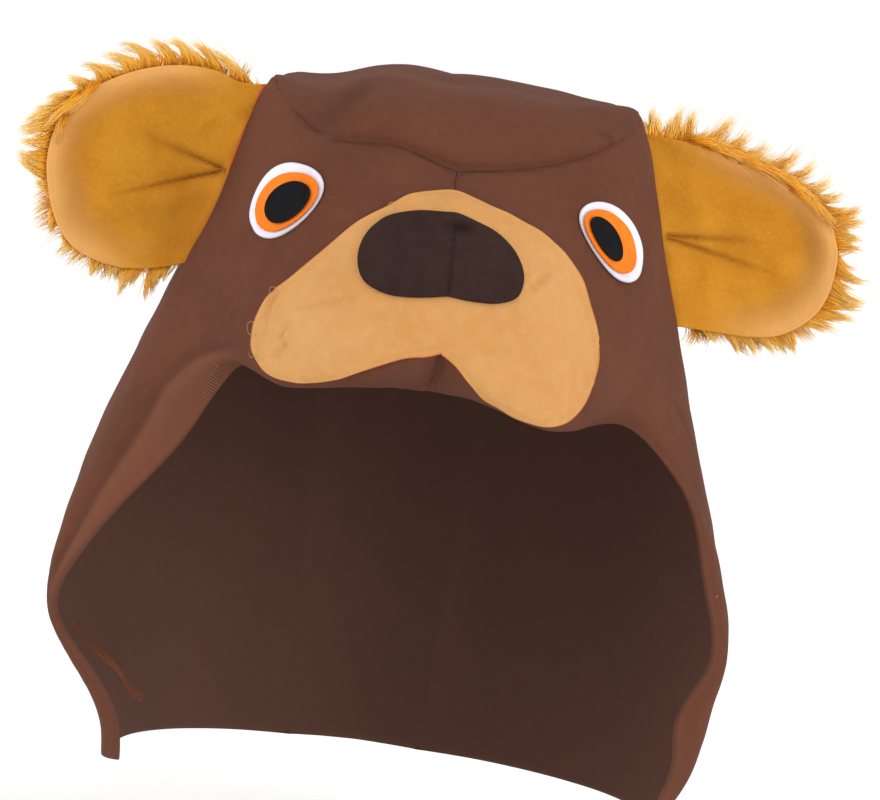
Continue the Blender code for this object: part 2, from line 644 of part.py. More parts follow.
def build_ear_fur(side, collection):
    """Long-pile back of an ear: a padded backing with locks round its free edge."""
    draw = random.Random(FUR_SEED + int(side > 0))
    points, outward = smooth_edge(side, 2 * LOCK_COUNT + 1)
    scale = np.array((EAR_LENGTH, EAR_HEIGHT))
    middle = np.array(EAR_MIDDLE) * scale
    tips = points + outward * PILE_RIM
    lean = np.zeros(len(points))
    for k in range(1, len(points) - 1, 2):
        length = LOCK_LENGTH * draw.uniform(0.45, 1.15) * min(1.0, 0.35 + 4.0 * k / len(points))
        along_edge = np.array((outward[k][1], -outward[k][0]))
        tips[k] += outward[k] * length + along_edge * length * draw.uniform(-0.6, 0.6)
        lean[k] = draw.uniform(-0.35, 0.45) * length
    base = ear_base() * scale
    hem = np.concatenate((points, base))
    fringe = np.concatenate((tips, base))
    lean = np.concatenate((lean, np.zeros(len(base))))
    ridge = np.array([draw.uniform(-1.0, 1.0) for _ in hem])
    front_depth = EAR_WALL + SEAM_GAP
    rings, front = ear_face(side, front_depth)
    thin = np.full(len(hem), front_depth + 0.0012) + lean
    rings.append(on_ear(side, fringe / scale, thin))
    for share, pile in ((1.0, 0.45), (0.72, 0.85), (0.38, 1.0)):
        places = middle + (hem - middle) * share
        depth = front_depth + PILE_DEPTH * (pile + 0.16 * ridge * share)
        rings.append(on_ear(side, places / scale, depth))
    rear = on_ear(side, middle[None, :] / scale, np.array([front_depth + PILE_DEPTH]))[0]
    mesh_builder = ring_disc(rings, front)
    last = list(mesh_builder.verts)[-1 - len(hem):-1]
    cap = mesh_builder.verts.new(rear)
    for k in range(len(last)):
        mesh_builder.faces.new((last[k], cap, last[(k + 1) % len(last)]))
    bmesh.ops.recalc_face_normals(mesh_builder, faces=mesh_builder.faces)
    name = "ear_fur_left" if side > 0 else "ear_fur_right"
    return add_object(name, mesh_builder, "gold_fur", collection)


def clear_scene():
    """Remove what the scene already holds."""
    for item in list(bpy.data.objects):
        bpy.data.objects.remove(item, do_unlink=True)


def main():
    """Build every piece of the hood into its own collection."""
    clear_scene()
    collection = bpy.data.collections.new("bear_face_hood")
    bpy.context.scene.collection.children.link(collection)
    for side in (1.0, -1.0):
        build_side_panel(side, collection)
        build_ear_front(side, collection)
        build_ear_fur(side, collection)
    build_crown_panel(collection)
    build_face(collection)


if __name__ == "__main__":
    main()
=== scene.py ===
"""Bear face costume hood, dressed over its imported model.

Each cut piece of the hood is made again here in fine cloth, with its turned
hem, seams, stitching, nap and pile. Sizes are in metres, +Z up, with the face
towards -Y and +X on the wearer's left.
"""

import logging
import math
from dataclasses import dataclass, field
from enum import Enum
from typing import Dict, List, NamedTuple, Sequence, Tuple

import bpy
import numpy as np
from mathutils import Matrix


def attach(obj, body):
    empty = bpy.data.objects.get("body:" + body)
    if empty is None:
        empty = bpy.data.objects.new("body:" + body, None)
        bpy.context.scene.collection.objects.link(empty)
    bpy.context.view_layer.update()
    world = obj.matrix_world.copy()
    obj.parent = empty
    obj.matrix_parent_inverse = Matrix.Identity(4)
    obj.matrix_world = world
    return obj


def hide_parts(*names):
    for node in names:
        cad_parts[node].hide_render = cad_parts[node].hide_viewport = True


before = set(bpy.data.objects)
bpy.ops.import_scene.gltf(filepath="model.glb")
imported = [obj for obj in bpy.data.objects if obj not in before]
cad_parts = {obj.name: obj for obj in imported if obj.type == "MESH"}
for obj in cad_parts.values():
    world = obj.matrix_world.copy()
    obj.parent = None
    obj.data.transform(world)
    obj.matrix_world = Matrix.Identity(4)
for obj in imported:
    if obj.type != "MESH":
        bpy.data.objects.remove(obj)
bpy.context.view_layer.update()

Array = np.ndarray
Triple = Tuple[float, float, float]
Pair = Tuple[float, float]

SLOPE_STEP = 0.002
SEAM_NARROW = 0.0017
SEAM_BROAD = 0.0060
SEAM_DIP = 0.0005
FREE_EDGE_POINTS = 97
STRAND_PARTS = np.array((0.0, 0.27, 0.54, 0.79, 1.0))
STRAND_TAPER = np.array((1.0, 0.95, 0.82, 0.55, 0.14))

log = logging.getLogger("bear_hood")


class Side(Enum):
    """The wearer's two sides, by the sign of X."""

    LEFT = 1
    RIGHT = -1

    @property
    def word(self) -> str:
        """The side's name as the frame's nodes spell it."""
        return self.name.lower()


class Hold(Enum):
    """How a sheet of cloth is held in its shape."""

    STRETCHED = "stretched"
    FOLDED = "folded"


class Section(NamedTuple):
    """Six guides across a side panel, as shares of half width, depth and height."""

    name: str
    along: float
    guides: Tuple[Triple, ...]


class Fold(NamedTuple):
    """A soft fold or dent. Side 1 is the wearer's left, -1 the right, 0 both."""

    name: str
    side: int
    along: float
    across: float
    reach_along: float
    reach_across: float
    out: float
    back: float
    up: float


class Rise(NamedTuple):
    """How far the crown panel's middle stands over a panel drawn straight."""

    place: float
    back: float
    up: float


class CrownFold(NamedTuple):
    """A soft swell of the crown panel."""

    name: str
    across: float
    place: float
    reach_across: float
    reach_place: float
    up: float


class Oval(NamedTuple):
    """One layer of an eye: its middle on the side panel, its half sizes and its lean."""

    along: float
    across: float
    half_along: float
    half_across: float
    lean: float


class Mark(NamedTuple):
    """One step of a patch's outline on the wearer's right and left panels."""

    right_along: float
    right_across: float
    left_along: float
    left_across: float


SECTIONS = (
    Section("brow_centre", 0.00,
            ((0.000, -0.385, -0.384), (0.000, -0.565, -0.332), (0.000, -0.565, -0.258),
             (0.000, -0.488, -0.145), (0.000, -0.431, -0.113), (0.000, -0.373, -0.087))),
    Section("jowl", 0.16,
            ((0.205, -0.381, -0.387), (0.226, -0.565, -0.371), (0.253, -0.542, -0.277),
             (0.260, -0.458, -0.161), (0.247, -0.408, -0.110), (0.226, -0.362, -0.074))),
    Section("brow_end", 0.30,
            ((0.384, -0.354, -0.400), (0.425, -0.465, -0.387), (0.473, -0.431, -0.290),
             (0.459, -0.381, -0.168), (0.411, -0.354, -0.090), (0.370, -0.331, -0.058))),
    Section("temple", 0.42,
            ((0.534, -0.292, -0.400), (0.589, -0.323, -0.368), (0.616, -0.292, -0.284),
             (0.589, -0.269, -0.161), (0.527, -0.262, -0.065), (0.466, -0.277, -0.039))),
    Section("upper_cheek", 0.54,
            ((0.671, -0.231, -0.474), (0.740, -0.208, -0.432), (0.733, -0.146, -0.306),
             (0.651, -0.131, -0.168), (0.589, -0.138, -0.058), (0.527, -0.185, -0.010))),
    Section("cheek", 0.67,
            ((0.836, -0.212, -0.600), (0.911, -0.169, -0.574), (0.849, -0.038, -0.445),
             (0.705, 0.058, -0.242), (0.589, 0.038, -0.071), (0.527, -0.015, 0.000))),
    Section("jaw", 0.80,
            ((0.932, -0.223, -0.729), (0.993, -0.162, -0.716), (0.938, 0.038, -0.613),
             (0.753, 0.231, -0.387), (0.582, 0.262, -0.171), (0.438, 0.231, -0.032))),
    Section("collar", 0.90,
            ((0.884, -0.254, -0.832), (0.945, -0.173, -0.832), (0.884, 0.077, -0.761),
             (0.699, 0.308, -0.581), (0.466, 0.408, -0.400), (0.295, 0.412, -0.216))),
    Section("neck_edge", 1.00,
            ((0.795, -0.292, -0.942), (0.836, -0.192, -0.952), (0.781, 0.038, -0.961),
             (0.630, 0.231, -0.968), (0.411, 0.323, -0.968), (0.205, 0.358, -0.968))),
)

FOLDS = (
    Fold("right_neck_tuck", -1, 0.93, 0.10, 0.10, 0.50, -0.062, 0.000, 0.000),
    Fold("right_crown_dent", -1, 0.50, 0.60, 0.20, 0.30, -0.031, 0.000, 0.000),
    Fold("right_edge_flare", -1, 0.83, 0.00, 0.07, 0.12, 0.055, -0.019, 0.000),
    Fold("right_neck_dip", -1, 0.96, 0.20, 0.06, 0.40, -0.034, 0.000, 0.000),
    Fold("right_jowl_lift", -1, 0.20, 0.12, 0.10, 0.10, 0.000, 0.000, 0.006),
    Fold("right_temple_peak", -1, 0.42, 0.00, 0.040, 0.10, 0.000, 0.000, 0.014),
    Fold("right_edge_fall", -1, 0.58, 0.00, 0.105, 0.12, -0.034, 0.000, -0.015),
    Fold("right_seam_rise", -1, 0.12, 1.00, 0.085, 0.22, 0.000, 0.017, 0.0135),
    Fold("right_seam_sag", -1, 0.33, 1.00, 0.09, 0.22, 0.000, -0.0126, -0.010),
    Fold("right_crown_corner", -1, 0.72, 1.00, 0.10, 0.20, 0.000, 0.000, -0.0135),
    Fold("left_neck_swell", 1, 0.93, 0.20, 0.10, 0.50, 0.027, 0.000, 0.000),
    Fold("left_temple_arch", 1, 0.50, 0.00, 0.11, 0.12, 0.048, 0.015, 0.003),
    Fold("left_brow_sag", 1, 0.36, 0.00, 0.07, 0.10, 0.000, 0.000, -0.013),
    Fold("left_jowl_sag", 1, 0.20, 0.12, 0.10, 0.10, 0.027, 0.000, -0.016),
    Fold("left_edge_swell", 1, 0.69, 0.00, 0.13, 0.12, 0.034, 0.000, 0.003),
    Fold("left_temple_flare", 1, 0.58, 0.00, 0.075, 0.12, 0.050, 0.000, 0.000),
    Fold("left_jaw_turn", 1, 0.865, 0.00, 0.055, 0.12, -0.058, 0.000, 0.000),
    Fold("left_seam_rise", 1, 0.42, 1.00, 0.26, 0.22, 0.000, 0.006, 0.016),
)

RISES = (
    Rise(0.000, 0.000, 0.000),
    Rise(0.070, -0.027, 0.034),
    Rise(0.150, -0.019, 0.061),
    Rise(0.283, 0.019, 0.067),
    Rise(0.420, 0.035, 0.064),
    Rise(0.565, 0.073, 0.053),
    Rise(0.783, 0.065, 0.010),
    Rise(0.890, 0.058, 0.000),
    Rise(1.000, 0.027, 0.000),
)

CROWN_FOLDS = (
    CrownFold("right_puff", -0.50, 0.44, 0.22, 0.30, 0.0095),
    CrownFold("middle_puff", 0.05, 0.45, 0.25, 0.30, 0.0108),
)

MUZZLE_MARKS = (
    Mark(0.070, 0.715, 0.043, 0.723),
    Mark(0.113, 0.628, 0.092, 0.665),
    Mark(0.168, 0.555, 0.152, 0.608),
    Mark(0.212, 0.487, 0.203, 0.547),
    Mark(0.258, 0.422, 0.238, 0.482),
    Mark(0.297, 0.370, 0.256, 0.425),
    Mark(0.325, 0.318, 0.276, 0.365),
    Mark(0.343, 0.260, 0.290, 0.315),
    Mark(0.345, 0.205, 0.292, 0.263),
    Mark(0.323, 0.173, 0.285, 0.215),
    Mark(0.288, 0.166, 0.260, 0.182),
    Mark(0.238, 0.166, 0.225, 0.162),
    Mark(0.190, 0.178, 0.177, 0.150),
    Mark(0.147, 0.197, 0.130, 0.148),
    Mark(0.107, 0.210, 0.095, 0.150),
    Mark(0.065, 0.216, 0.065, 0.172),
    Mark(0.025, 0.207, 0.030, 0.197),
)

NOSE_MARKS = (
    Mark(0.040, 0.600, 0.035, 0.580),
    Mark(0.072, 0.596, 0.062, 0.566),
    Mark(0.103, 0.584, 0.085, 0.544),
    Mark(0.130, 0.550, 0.108, 0.512),
    Mark(0.148, 0.508, 0.121, 0.480),
    Mark(0.154, 0.455, 0.125, 0.446),
    Mark(0.140, 0.405, 0.116, 0.408),
    Mark(0.105, 0.378, 0.092, 0.388),
    Mark(0.052, 0.368, 0.045, 0.374),
)

OUTSIDE_LADDER = ((0.434, 0.103), (0.456, 0.063), (0.476, 0.039), (0.498, 0.021))
INSIDE_LADDER = ((0.868, 0.200), (0.918, 0.250), (0.966, 0.360), (0.986, 0.480))

RIGHT_EAR_MARKS = (
    (0.13, 0.00), (0.30, 0.04), (0.50, 0.045), (0.68, 0.00), (0.83, -0.085), (0.94, -0.18),
    (0.99, -0.28), (1.00, -0.40), (0.975, -0.53), (0.92, -0.64), (0.85, -0.74), (0.75, -0.85),
    (0.62, -0.94), (0.45, -0.995), (0.30, -1.01), (0.15, -0.99),
)
LEFT_EAR_MARKS = (
    (0.13, 0.00), (0.31, -0.01), (0.45, -0.03), (0.58, -0.06), (0.70, -0.10), (0.80, -0.145),
    (0.90, -0.21), (0.96, -0.28), (0.995, -0.38), (1.00, -0.48), (0.97, -0.58), (0.92, -0.68),
    (0.84, -0.78), (0.73, -0.86), (0.56, -0.935), (0.38, -0.955), (0.20, -0.95),
)


class Lock(NamedTuple):
    """One lock of the fringe, from its root to its tip over the ear's face, and its bend."""

    root_out: float
    root_up: float
    tip_out: float
    tip_up: float
    bend: float


RIGHT_LOCKS = tuple(Lock(*row) for row in (
    (0.14, 0.01, 0.39, 0.14, 0.20), (0.28, 0.04, 0.48, 0.17, 0.20), (0.42, 0.07, 0.61, 0.17, 0.25),
    (0.55, 0.06, 0.71, 0.15, 0.30), (0.64, 0.03, 0.86, 0.11, 0.35), (0.71, -0.02, 0.94, 0.05, 0.30),
    (0.82, -0.07, 1.00, -0.01, 0.30), (0.89, -0.14, 1.05, -0.09, 0.25),
    (0.96, -0.19, 1.11, -0.21, 0.30), (0.99, -0.24, 1.15, -0.28, 0.20),
    (0.99, -0.28, 1.18, -0.35, 0.30), (1.01, -0.32, 1.19, -0.39, 0.10),
    (1.01, -0.41, 1.16, -0.45, -0.10), (0.98, -0.52, 1.15, -0.50, -0.20),
    (0.95, -0.58, 1.13, -0.52, -0.30), (0.90, -0.66, 0.99, -0.64, -0.20),
    (0.82, -0.79, 0.77, -0.89, 0.20), (0.71, -0.88, 0.64, -0.97, 0.10),
    (0.63, -0.93, 0.59, -0.99, 0.00), (0.47, -0.97, 0.45, -1.08, 0.10),
    (0.35, -1.00, 0.37, -1.06, 0.10), (0.22, -1.00, 0.26, -1.15, 0.20),
    (0.12, -0.98, 0.11, -1.16, 0.20), (0.10, -0.98, 0.10, -1.09, 0.10),
))
LEFT_LOCKS = tuple(Lock(*row) for row in (
    (0.01, 0.00, 0.00, 0.10, 0.10), (0.05, -0.01, 0.10, 0.15, 0.10),
    (0.11, -0.01, 0.27, 0.17, -0.10),
    (0.19, -0.01, 0.34, 0.16, -0.10), (0.24, -0.01, 0.57, 0.15, -0.15),
    (0.32, -0.02, 0.63, 0.09, -0.20), (0.42, -0.03, 0.74, 0.04, -0.25),
    (0.53, -0.05, 0.89, 0.03, -0.30), (0.65, -0.08, 0.96, -0.02, -0.40),
    (0.73, -0.11, 1.04, -0.09, -0.40), (0.85, -0.17, 1.07, -0.17, -0.30),
    (0.97, -0.28, 1.17, -0.23, -0.10), (0.99, -0.33, 1.18, -0.30, 0.05),
    (1.00, -0.39, 1.15, -0.39, 0.10), (1.00, -0.44, 1.14, -0.44, 0.10),
    (1.00, -0.49, 1.16, -0.60, -0.45), (0.96, -0.61, 1.12, -0.71, -0.35),
    (0.89, -0.71, 1.10, -0.73, -0.20), (0.82, -0.79, 1.03, -0.80, -0.10),
    (0.74, -0.85, 0.92, -0.87, 0.10), (0.63, -0.91, 0.66, -1.01, 0.10),
    (0.54, -0.94, 0.61, -1.02, 0.10), (0.43, -0.95, 0.54, -1.03, 0.30),
    (0.35, -0.95, 0.42, -1.05, 0.35), (0.28, -0.95, 0.33, -1.05, 0.20),
    (0.18, -0.95, 0.21, -1.01, 0.10),
))
LEFT_LAID_LOCKS = tuple(Lock(*row) for row in (
    (0.26, 0.01, 0.56, -0.05, 0.15), (0.34, -0.01, 0.66, -0.10, 0.10),
    (0.44, -0.03, 0.74, -0.12, 0.20), (0.52, -0.05, 0.80, -0.17, 0.10),
    (0.62, -0.08, 0.90, -0.20, 0.15), (0.72, -0.12, 0.95, -0.28, 0.20),
    (0.78, -0.16, 0.98, -0.34, 0.10), (0.86, -0.20, 1.01, -0.36, 0.10),
))
RIGHT_LAID_LOCKS = tuple(Lock(*row) for row in (
    (0.88, -0.10, 1.02, -0.30, -0.15), (0.92, -0.16, 1.06, -0.36, 0.10),
    (0.97, -0.28, 0.96, -0.44, 0.10),
))


def unit(vectors: Array) -> Array:
    """Vectors brought to length one."""
    return vectors / np.maximum(np.linalg.norm(vectors, axis=-1, keepdims=True), 1e-12)


def cubic(values: Array, stations: Array, places: Array) -> Array:
    """Smooth curve through values at rising stations.

    Args:
        values: One value, or row of values, for each station.
        stations: Rising positions of the values.
        places: Positions to read the curve at.

    Returns:
        The curve's values at the places.
    """
    spread = (-1,) + (1,) * (values.ndim - 1)
    steps = np.diff(stations)
    slopes = np.diff(values, axis=0) / steps.reshape(spread)
    tangents = np.empty_like(values)
    before, after = steps[1:].reshape(spread), steps[:-1].reshape(spread)
    tangents[1:-1] = (slopes[:-1] * before + slopes[1:] * after) / (before + after)
    tangents[0] = 1.5 * slopes[0] - 0.5 * tangents[1]
    tangents[-1] = 1.5 * slopes[-1] - 0.5 * tangents[-2]
    cell = np.clip(np.searchsorted(stations, places, side="right") - 1, 0, len(steps) - 1)
    width = steps[cell].reshape(spread)
    part = ((places - stations[cell]) / steps[cell]).reshape(spread)
    return ((2 * part**3 - 3 * part**2 + 1) * values[cell]
            + (part**3 - 2 * part**2 + part) * width * tangents[cell]
            + (3 * part**2 - 2 * part**3) * values[cell + 1]
            + (part**3 - part**2) * width * tangents[cell + 1])


def weights(stations: Sequence[float], places: Array) -> Array:
    """How much each station counts at each place."""
    stations = np.asarray(stations, float)
    return cubic(np.eye(len(stations)), stations, np.asarray(places, float))


def ease(value: Array, start: float, end: float) -> Array:
    """Smooth step from 0 at start to 1 at end, which may run downwards."""
    part = np.clip((value - start) / (end - start), 0.0, 1.0)
    return part * part * (3.0 - 2.0 * part)


def hump(value: Array, width: float) -> Array:
    """A soft ridge of height one at zero, with the given half width."""
    return np.exp(-((value / width) ** 2))


def unevenness(points: Array, grain: float, seed: int, waves: int = 7) -> Array:
    """Slow uneven swell over points in space, about -1 to 1.

    Args:
        points: Array of points, shape (..., 3).
        grain: Length of one swell, in metres.
        seed: Number that fixes the pattern.
        waves: How many crossing waves make it up.

    Returns:
        One value for each point.
    """
    draw = np.random.default_rng(seed)
    total = np.zeros(points.shape[:-1])
    for _ in range(waves):
        heading = unit(draw.normal(size=3)) * 2.0 * math.pi / (grain * draw.uniform(0.7, 1.6))
        total += np.sin(points @ heading + draw.uniform(0.0, 2.0 * math.pi))
    return total / math.sqrt(waves * 1.5)


def lengths_along(points: Array, axis: int) -> Array:
    """Distance run from the first point of each row or column of a grid.

    Args:
        points: A row or a grid of points.
        axis: The axis to run along.

    Returns:
        Distances in metres.
    """
    runs = np.linalg.norm(np.diff(points, axis=axis), axis=-1)
    total = np.cumsum(runs, axis=axis)
    start = np.zeros_like(np.take(total, [0], axis=axis))
    return np.concatenate((start, total), axis=axis)


def beside_line(places: Array, first: Array, last: Array) -> Tuple[Array, Array]:
    """How places lie beside a straight line.

    Args:
        places: Places in a plane, shape (..., 2).
        first: The line's start.
        last: The line's end.

    Returns:
        The share of the way along the line, and the distance from it, of each place.
    """
    run = last - first
    offset = places - first
    travel = np.clip(offset @ run / (run @ run), 0.0, 1.0)
    return travel, np.linalg.norm(offset - travel[..., None] * run, axis=-1)


def seam_dip(gap: Array, groove: float) -> Array:
    """How far the cloth dips beside a seam, at given distances from it."""
    return groove * hump(gap, SEAM_NARROW) + SEAM_DIP * hump(gap, SEAM_BROAD)


def seam_ripple(points: Array, gap: Array, heading: Triple, wave: float) -> Array:
    """Small puckers along a seam.

    Args:
        points: The cloth's points.
        gap: Distance of each point from the seam.
        heading: Direction in which the puckers follow each other.
        wave: Length of one pucker, in metres.

    Returns:
        The outward step at each point, in metres.
    """
    travel = points @ np.array(heading) * 2.0 * math.pi / wave
    return 0.00025 * np.sin(travel + 3.0 * unevenness(points, 0.04, 9)) * hump(gap, SEAM_BROAD)


def edge_round(distance: Array, wall: float) -> Array:
    """How far a face dips towards the middle of its wall near a rounded edge.

    Args:
        distance: Distance of each place from the edge.
        wall: The cloth's thickness.

    Returns:
        One dip for each place, in metres.
    """
    radius = wall * 0.46
    near = np.clip(radius - distance, 0.0, radius)
    return radius - np.sqrt(np.maximum(radius**2 - near**2, 0.0))


class Cloth:
    """Makes closed cloth walls and strands, by the bpy operators where they serve."""

    @staticmethod
    def wall(name: str, outer: Array, inner: Array) -> bpy.types.Object:
        """A flat blank, given its thickness by an extrude and laid on its form.

        Args:
            name: The piece's name.
            outer: Grid of points of the outer face, shape (rows, columns, 3).
            inner: The same grid on the inner face.

        Returns:
            The closed piece, smooth and with its faces outwards.
        """
        rows, columns = outer.shape[:2]
        bpy.ops.object.select_all(action="DESELECT")
        bpy.ops.mesh.primitive_grid_add(x_subdivisions=columns - 1, y_subdivisions=rows - 1,
                                        size=1.0)
        piece = bpy.context.object
        piece.name = piece.data.name = name
        bpy.ops.object.mode_set(mode="EDIT")
        bpy.ops.mesh.select_all(action="SELECT")
        bpy.ops.mesh.extrude_region_move(TRANSFORM_OT_translate={"value": (0.0, 0.0, 1.0)})
        bpy.ops.object.mode_set(mode="OBJECT")
        flat = Cloth.points(piece)
        column = np.rint((flat[:, 0] + 0.5) * (columns - 1)).astype(int)
        row = np.rint((flat[:, 1] + 0.5) * (rows - 1)).astype(int)
        laid = np.where((flat[:, 2] > 0.5)[:, None], outer[row, column], inner[row, column])
        Cloth.lay(piece, laid)
        bpy.ops.object.mode_set(mode="EDIT")
        bpy.ops.mesh.select_all(action="SELECT")
        bpy.ops.mesh.normals_make_consistent(inside=False)
        bpy.ops.object.mode_set(mode="OBJECT")
        bpy.ops.object.shade_smooth_by_angle(angle=math.radians(60.0))
        Cloth.note(piece, "place", row * columns + column)
        Cloth.note(piece, "inside", flat[:, 2] < 0.5)
        return piece

    @staticmethod
    def points(piece: bpy.types.Object) -> Array:
        """The piece's points."""
        flat = np.empty(len(piece.data.vertices) * 3)
        piece.data.vertices.foreach_get("co", flat)
        return flat.reshape(-1, 3)

    @staticmethod
    def lay(piece: bpy.types.Object, points: Array) -> None:
        """Move the piece's points."""
        piece.data.vertices.foreach_set("co", points.ravel())
        piece.data.update()

    @staticmethod
    def note(piece: bpy.types.Object, name: str, values: Array) -> None:
        """Store one number for each point, for the materials to read."""
        layer = piece.data.attributes.new(name, "FLOAT", "POINT")
        layer.data.foreach_set("value", np.ascontiguousarray(values, np.float32))

    @staticmethod
    def note_grid(piece: bpy.types.Object, name: str, grid: Array) -> None:
        """Store one number for each place of a wall's grid, on both its faces.

        Args:
            piece: A wall from Cloth.wall.
            name: The attribute's name.
            grid: One number for each place of the grid.
        """
        place = np.empty(len(piece.data.vertices))
        piece.data.attributes["place"].data.foreach_get("value", place)
        Cloth.note(piece, name, grid.ravel()[np.rint(place).astype(int)])

    @staticmethod
    def strands(name: str, paths: Array, radii: Array, tones: Array, sides: int = 3
                ) -> bpy.types.Object:
        """Many closed tapered strands, as one joined mesh.

        Args:
            name: The piece's name.
            paths: Points along every strand, shape (strands, steps, 3).
            radii: The strand's radius at each of its points.
            tones: A tone for each strand, 0 to 1.
            sides: Sides of a strand's outline.

        Returns:
            The piece, with attributes share (root to tip) and tone.
        """
        count, steps = paths.shape[:2]
        run = unit(np.gradient(paths, axis=1))
        helper = np.where(np.abs(run[:, :1, 2:3]) > 0.8, (1.0, 0.0, 0.0), (0.0, 0.0, 1.0))
        first = unit(np.cross(run, np.broadcast_to(helper, run.shape)))
        second = np.cross(run, first)
        turn = np.arange(sides) * 2.0 * math.pi / sides
        ring = (first[:, :, None] * np.cos(turn)[:, None]
                + second[:, :, None] * np.sin(turn)[:, None])
        points = paths[:, :, None] + ring * radii[:, :, None, None]
        points = points.reshape(-1, 3)
        base = (np.arange(count) * steps * sides)[:, None]
        around = np.arange(sides)
        after = (around + 1) % sides
        quads = []
        for step in range(steps - 1):
            low, high = step * sides, (step + 1) * sides
            for k in range(sides):
                quads.append((low + around[k], low + after[k], high + after[k], high + around[k]))
        quad = (np.array(quads)[None] + base[:, :, None]).reshape(-1, 4)
        caps = []
        for k in range(1, sides - 1):
            caps.append((0, k + 1, k))
            top = (steps - 1) * sides
            caps.append((top, top + k, top + k + 1))
        cap = (np.array(caps)[None] + base[:, :, None]).reshape(-1, 3)
        mesh = bpy.data.meshes.new(name)
        mesh.vertices.add(len(points))
        mesh.vertices.foreach_set("co", points.ravel())
        corners = np.concatenate((quad.ravel(), cap.ravel()))
        starts = np.concatenate((np.arange(len(quad)) * 4, len(quad) * 4 + np.arange(len(cap)) * 3))
        mesh.loops.add(len(corners))
        mesh.loops.foreach_set("vertex_index", corners.astype(np.int32))
        mesh.polygons.add(len(starts))
        mesh.polygons.foreach_set("loop_start", starts.astype(np.int32))
        mesh.update(calc_edges=True)
        mesh.validate()
        mesh.shade_smooth()
        piece = bpy.data.objects.new(name, mesh)
        bpy.context.scene.collection.objects.link(piece)
        share = np.broadcast_to(np.linspace(0.0, 1.0, steps)[None, :, None], (count, steps, sides))
        tone = np.broadcast_to(tones[:, None, None], (count, steps, sides))
        Cloth.note(piece, "share", share.ravel())
        Cloth.note(piece, "tone", tone.ravel())
        return piece


class Recipe:
    """A material's nodes, added and linked one at a time."""

    def __init__(self, name: str) -> None:
        """Start an empty material with its shader."""
        self.material = bpy.data.materials.new(name)
        self.material.use_nodes = True
        self.tree = self.material.node_tree
        self.shader = self.tree.nodes["Principled BSDF"]

    def node(self, kind: str, **settings: object) -> bpy.types.Node:
        """Add a node and set its named properties."""
        made = self.tree.nodes.new(kind)
        for key, value in settings.items():
            setattr(made, key, value)
        return made

    def join(self, source: bpy.types.NodeSocket, target: bpy.types.NodeSocket) -> None:
        """Link one socket to another."""
        self.tree.links.new(source, target)

    def place(self) -> bpy.types.NodeSocket:
        """The point on the object, in metres."""
        return self.node("ShaderNodeTexCoord").outputs["Object"]

    def stored(self, name: str) -> bpy.types.NodeSocket:
        """A number stored on the piece's points."""
        return self.node("ShaderNodeAttribute", attribute_name=name).outputs["Fac"]

    def noise(self, scale: float, detail: float = 2.0, rough: float = 0.5) -> bpy.types.NodeSocket:
        """Noise of a given scale on the object's own coordinates.

        Args:
            scale: Cells in a metre.
            detail: Finer layers added.
            rough: Strength of the finer layers.

        Returns:
            The noise's socket.
        """
        made = self.node("ShaderNodeTexNoise")
        made.inputs["Scale"].default_value = scale
        made.inputs["Detail"].default_value = detail
        made.inputs["Roughness"].default_value = rough
        self.join(self.place(), made.inputs["Vector"])
        return made.outputs["Fac"]

    def spread(self, source: bpy.types.NodeSocket, low: float, high: float,
               start: float = 0.0, end: float = 1.0) -> bpy.types.NodeSocket:
        """Map low and high of a value onto start and end, held between them.

        Args:
            source: The value.
            low: Value that gives start.
            high: Value that gives end.
            start: Result at low.
            end: Result at high.

        Returns:
            The result's socket.
        """
        made = self.node("ShaderNodeMapRange")
        made.inputs["From Min"].default_value = low
        made.inputs["From Max"].default_value = high
        made.inputs["To Min"].default_value = start
        made.inputs["To Max"].default_value = end
        self.join(source, made.inputs["Value"])
        return made.outputs["Result"]

    def blend(self, share: bpy.types.NodeSocket, low: object, high: object) -> bpy.types.NodeSocket:
        """Mix two colours, each a colour or a socket, by a share.

        Args:
            share: 0 for the first colour to 1 for the second.
            low: The first colour.
            high: The second colour.

        Returns:
            The mixed colour's socket.
        """
        made = self.node("ShaderNodeMix", data_type="RGBA")
        self.join(share, made.inputs[0])
        for value, target in ((low, made.inputs[6]), (high, made.inputs[7])):
            if isinstance(value, bpy.types.NodeSocket):
                self.join(value, target)
            else:
                target.default_value = (*value, 1.0)
        return made.outputs[2]

    def sum(self, first: bpy.types.NodeSocket, second: bpy.types.NodeSocket, share: float
            ) -> bpy.types.NodeSocket:
        """First plus a share of second.

        Args:
            first: The first value.
            second: The value added to it.
            share: How much of it is added.

        Returns:
            The sum's socket.
        """
        made = self.node("ShaderNodeMath", operation="MULTIPLY_ADD")
        self.join(second, made.inputs[0])
        made.inputs[1].default_value = share
        self.join(first, made.inputs[2])
        return made.outputs[0]

    def relief(self, height: bpy.types.NodeSocket, strength: float, distance: float) -> None:
        """Let a height bump the shader's surface.

        Args:
            height: The height's socket.
            strength: Strength of the bump.
            distance: Height that a value of 1 stands for, in metres.
        """
        made = self.node("ShaderNodeBump")
        made.inputs["Strength"].default_value = strength
        made.inputs["Distance"].default_value = distance
        self.join(height, made.inputs["Height"])
        self.join(made.outputs["Normal"], self.shader.inputs["Normal"])

    def surface(self, colour: bpy.types.NodeSocket, rough: bpy.types.NodeSocket,
                sheen: float, tint: Triple, specular: float) -> bpy.types.Material:
        """Fill in the shader and give the finished material."""
        inputs = self.shader.inputs
        self.join(colour, inputs["Base Color"])
        self.join(rough, inputs["Roughness"])
        inputs["Sheen Weight"].default_value = sheen
        inputs["Sheen Roughness"].default_value = 0.55
        inputs["Sheen Tint"].default_value = (*tint, 1.0)
        inputs["Specular IOR Level"].default_value = specular
        return self.material


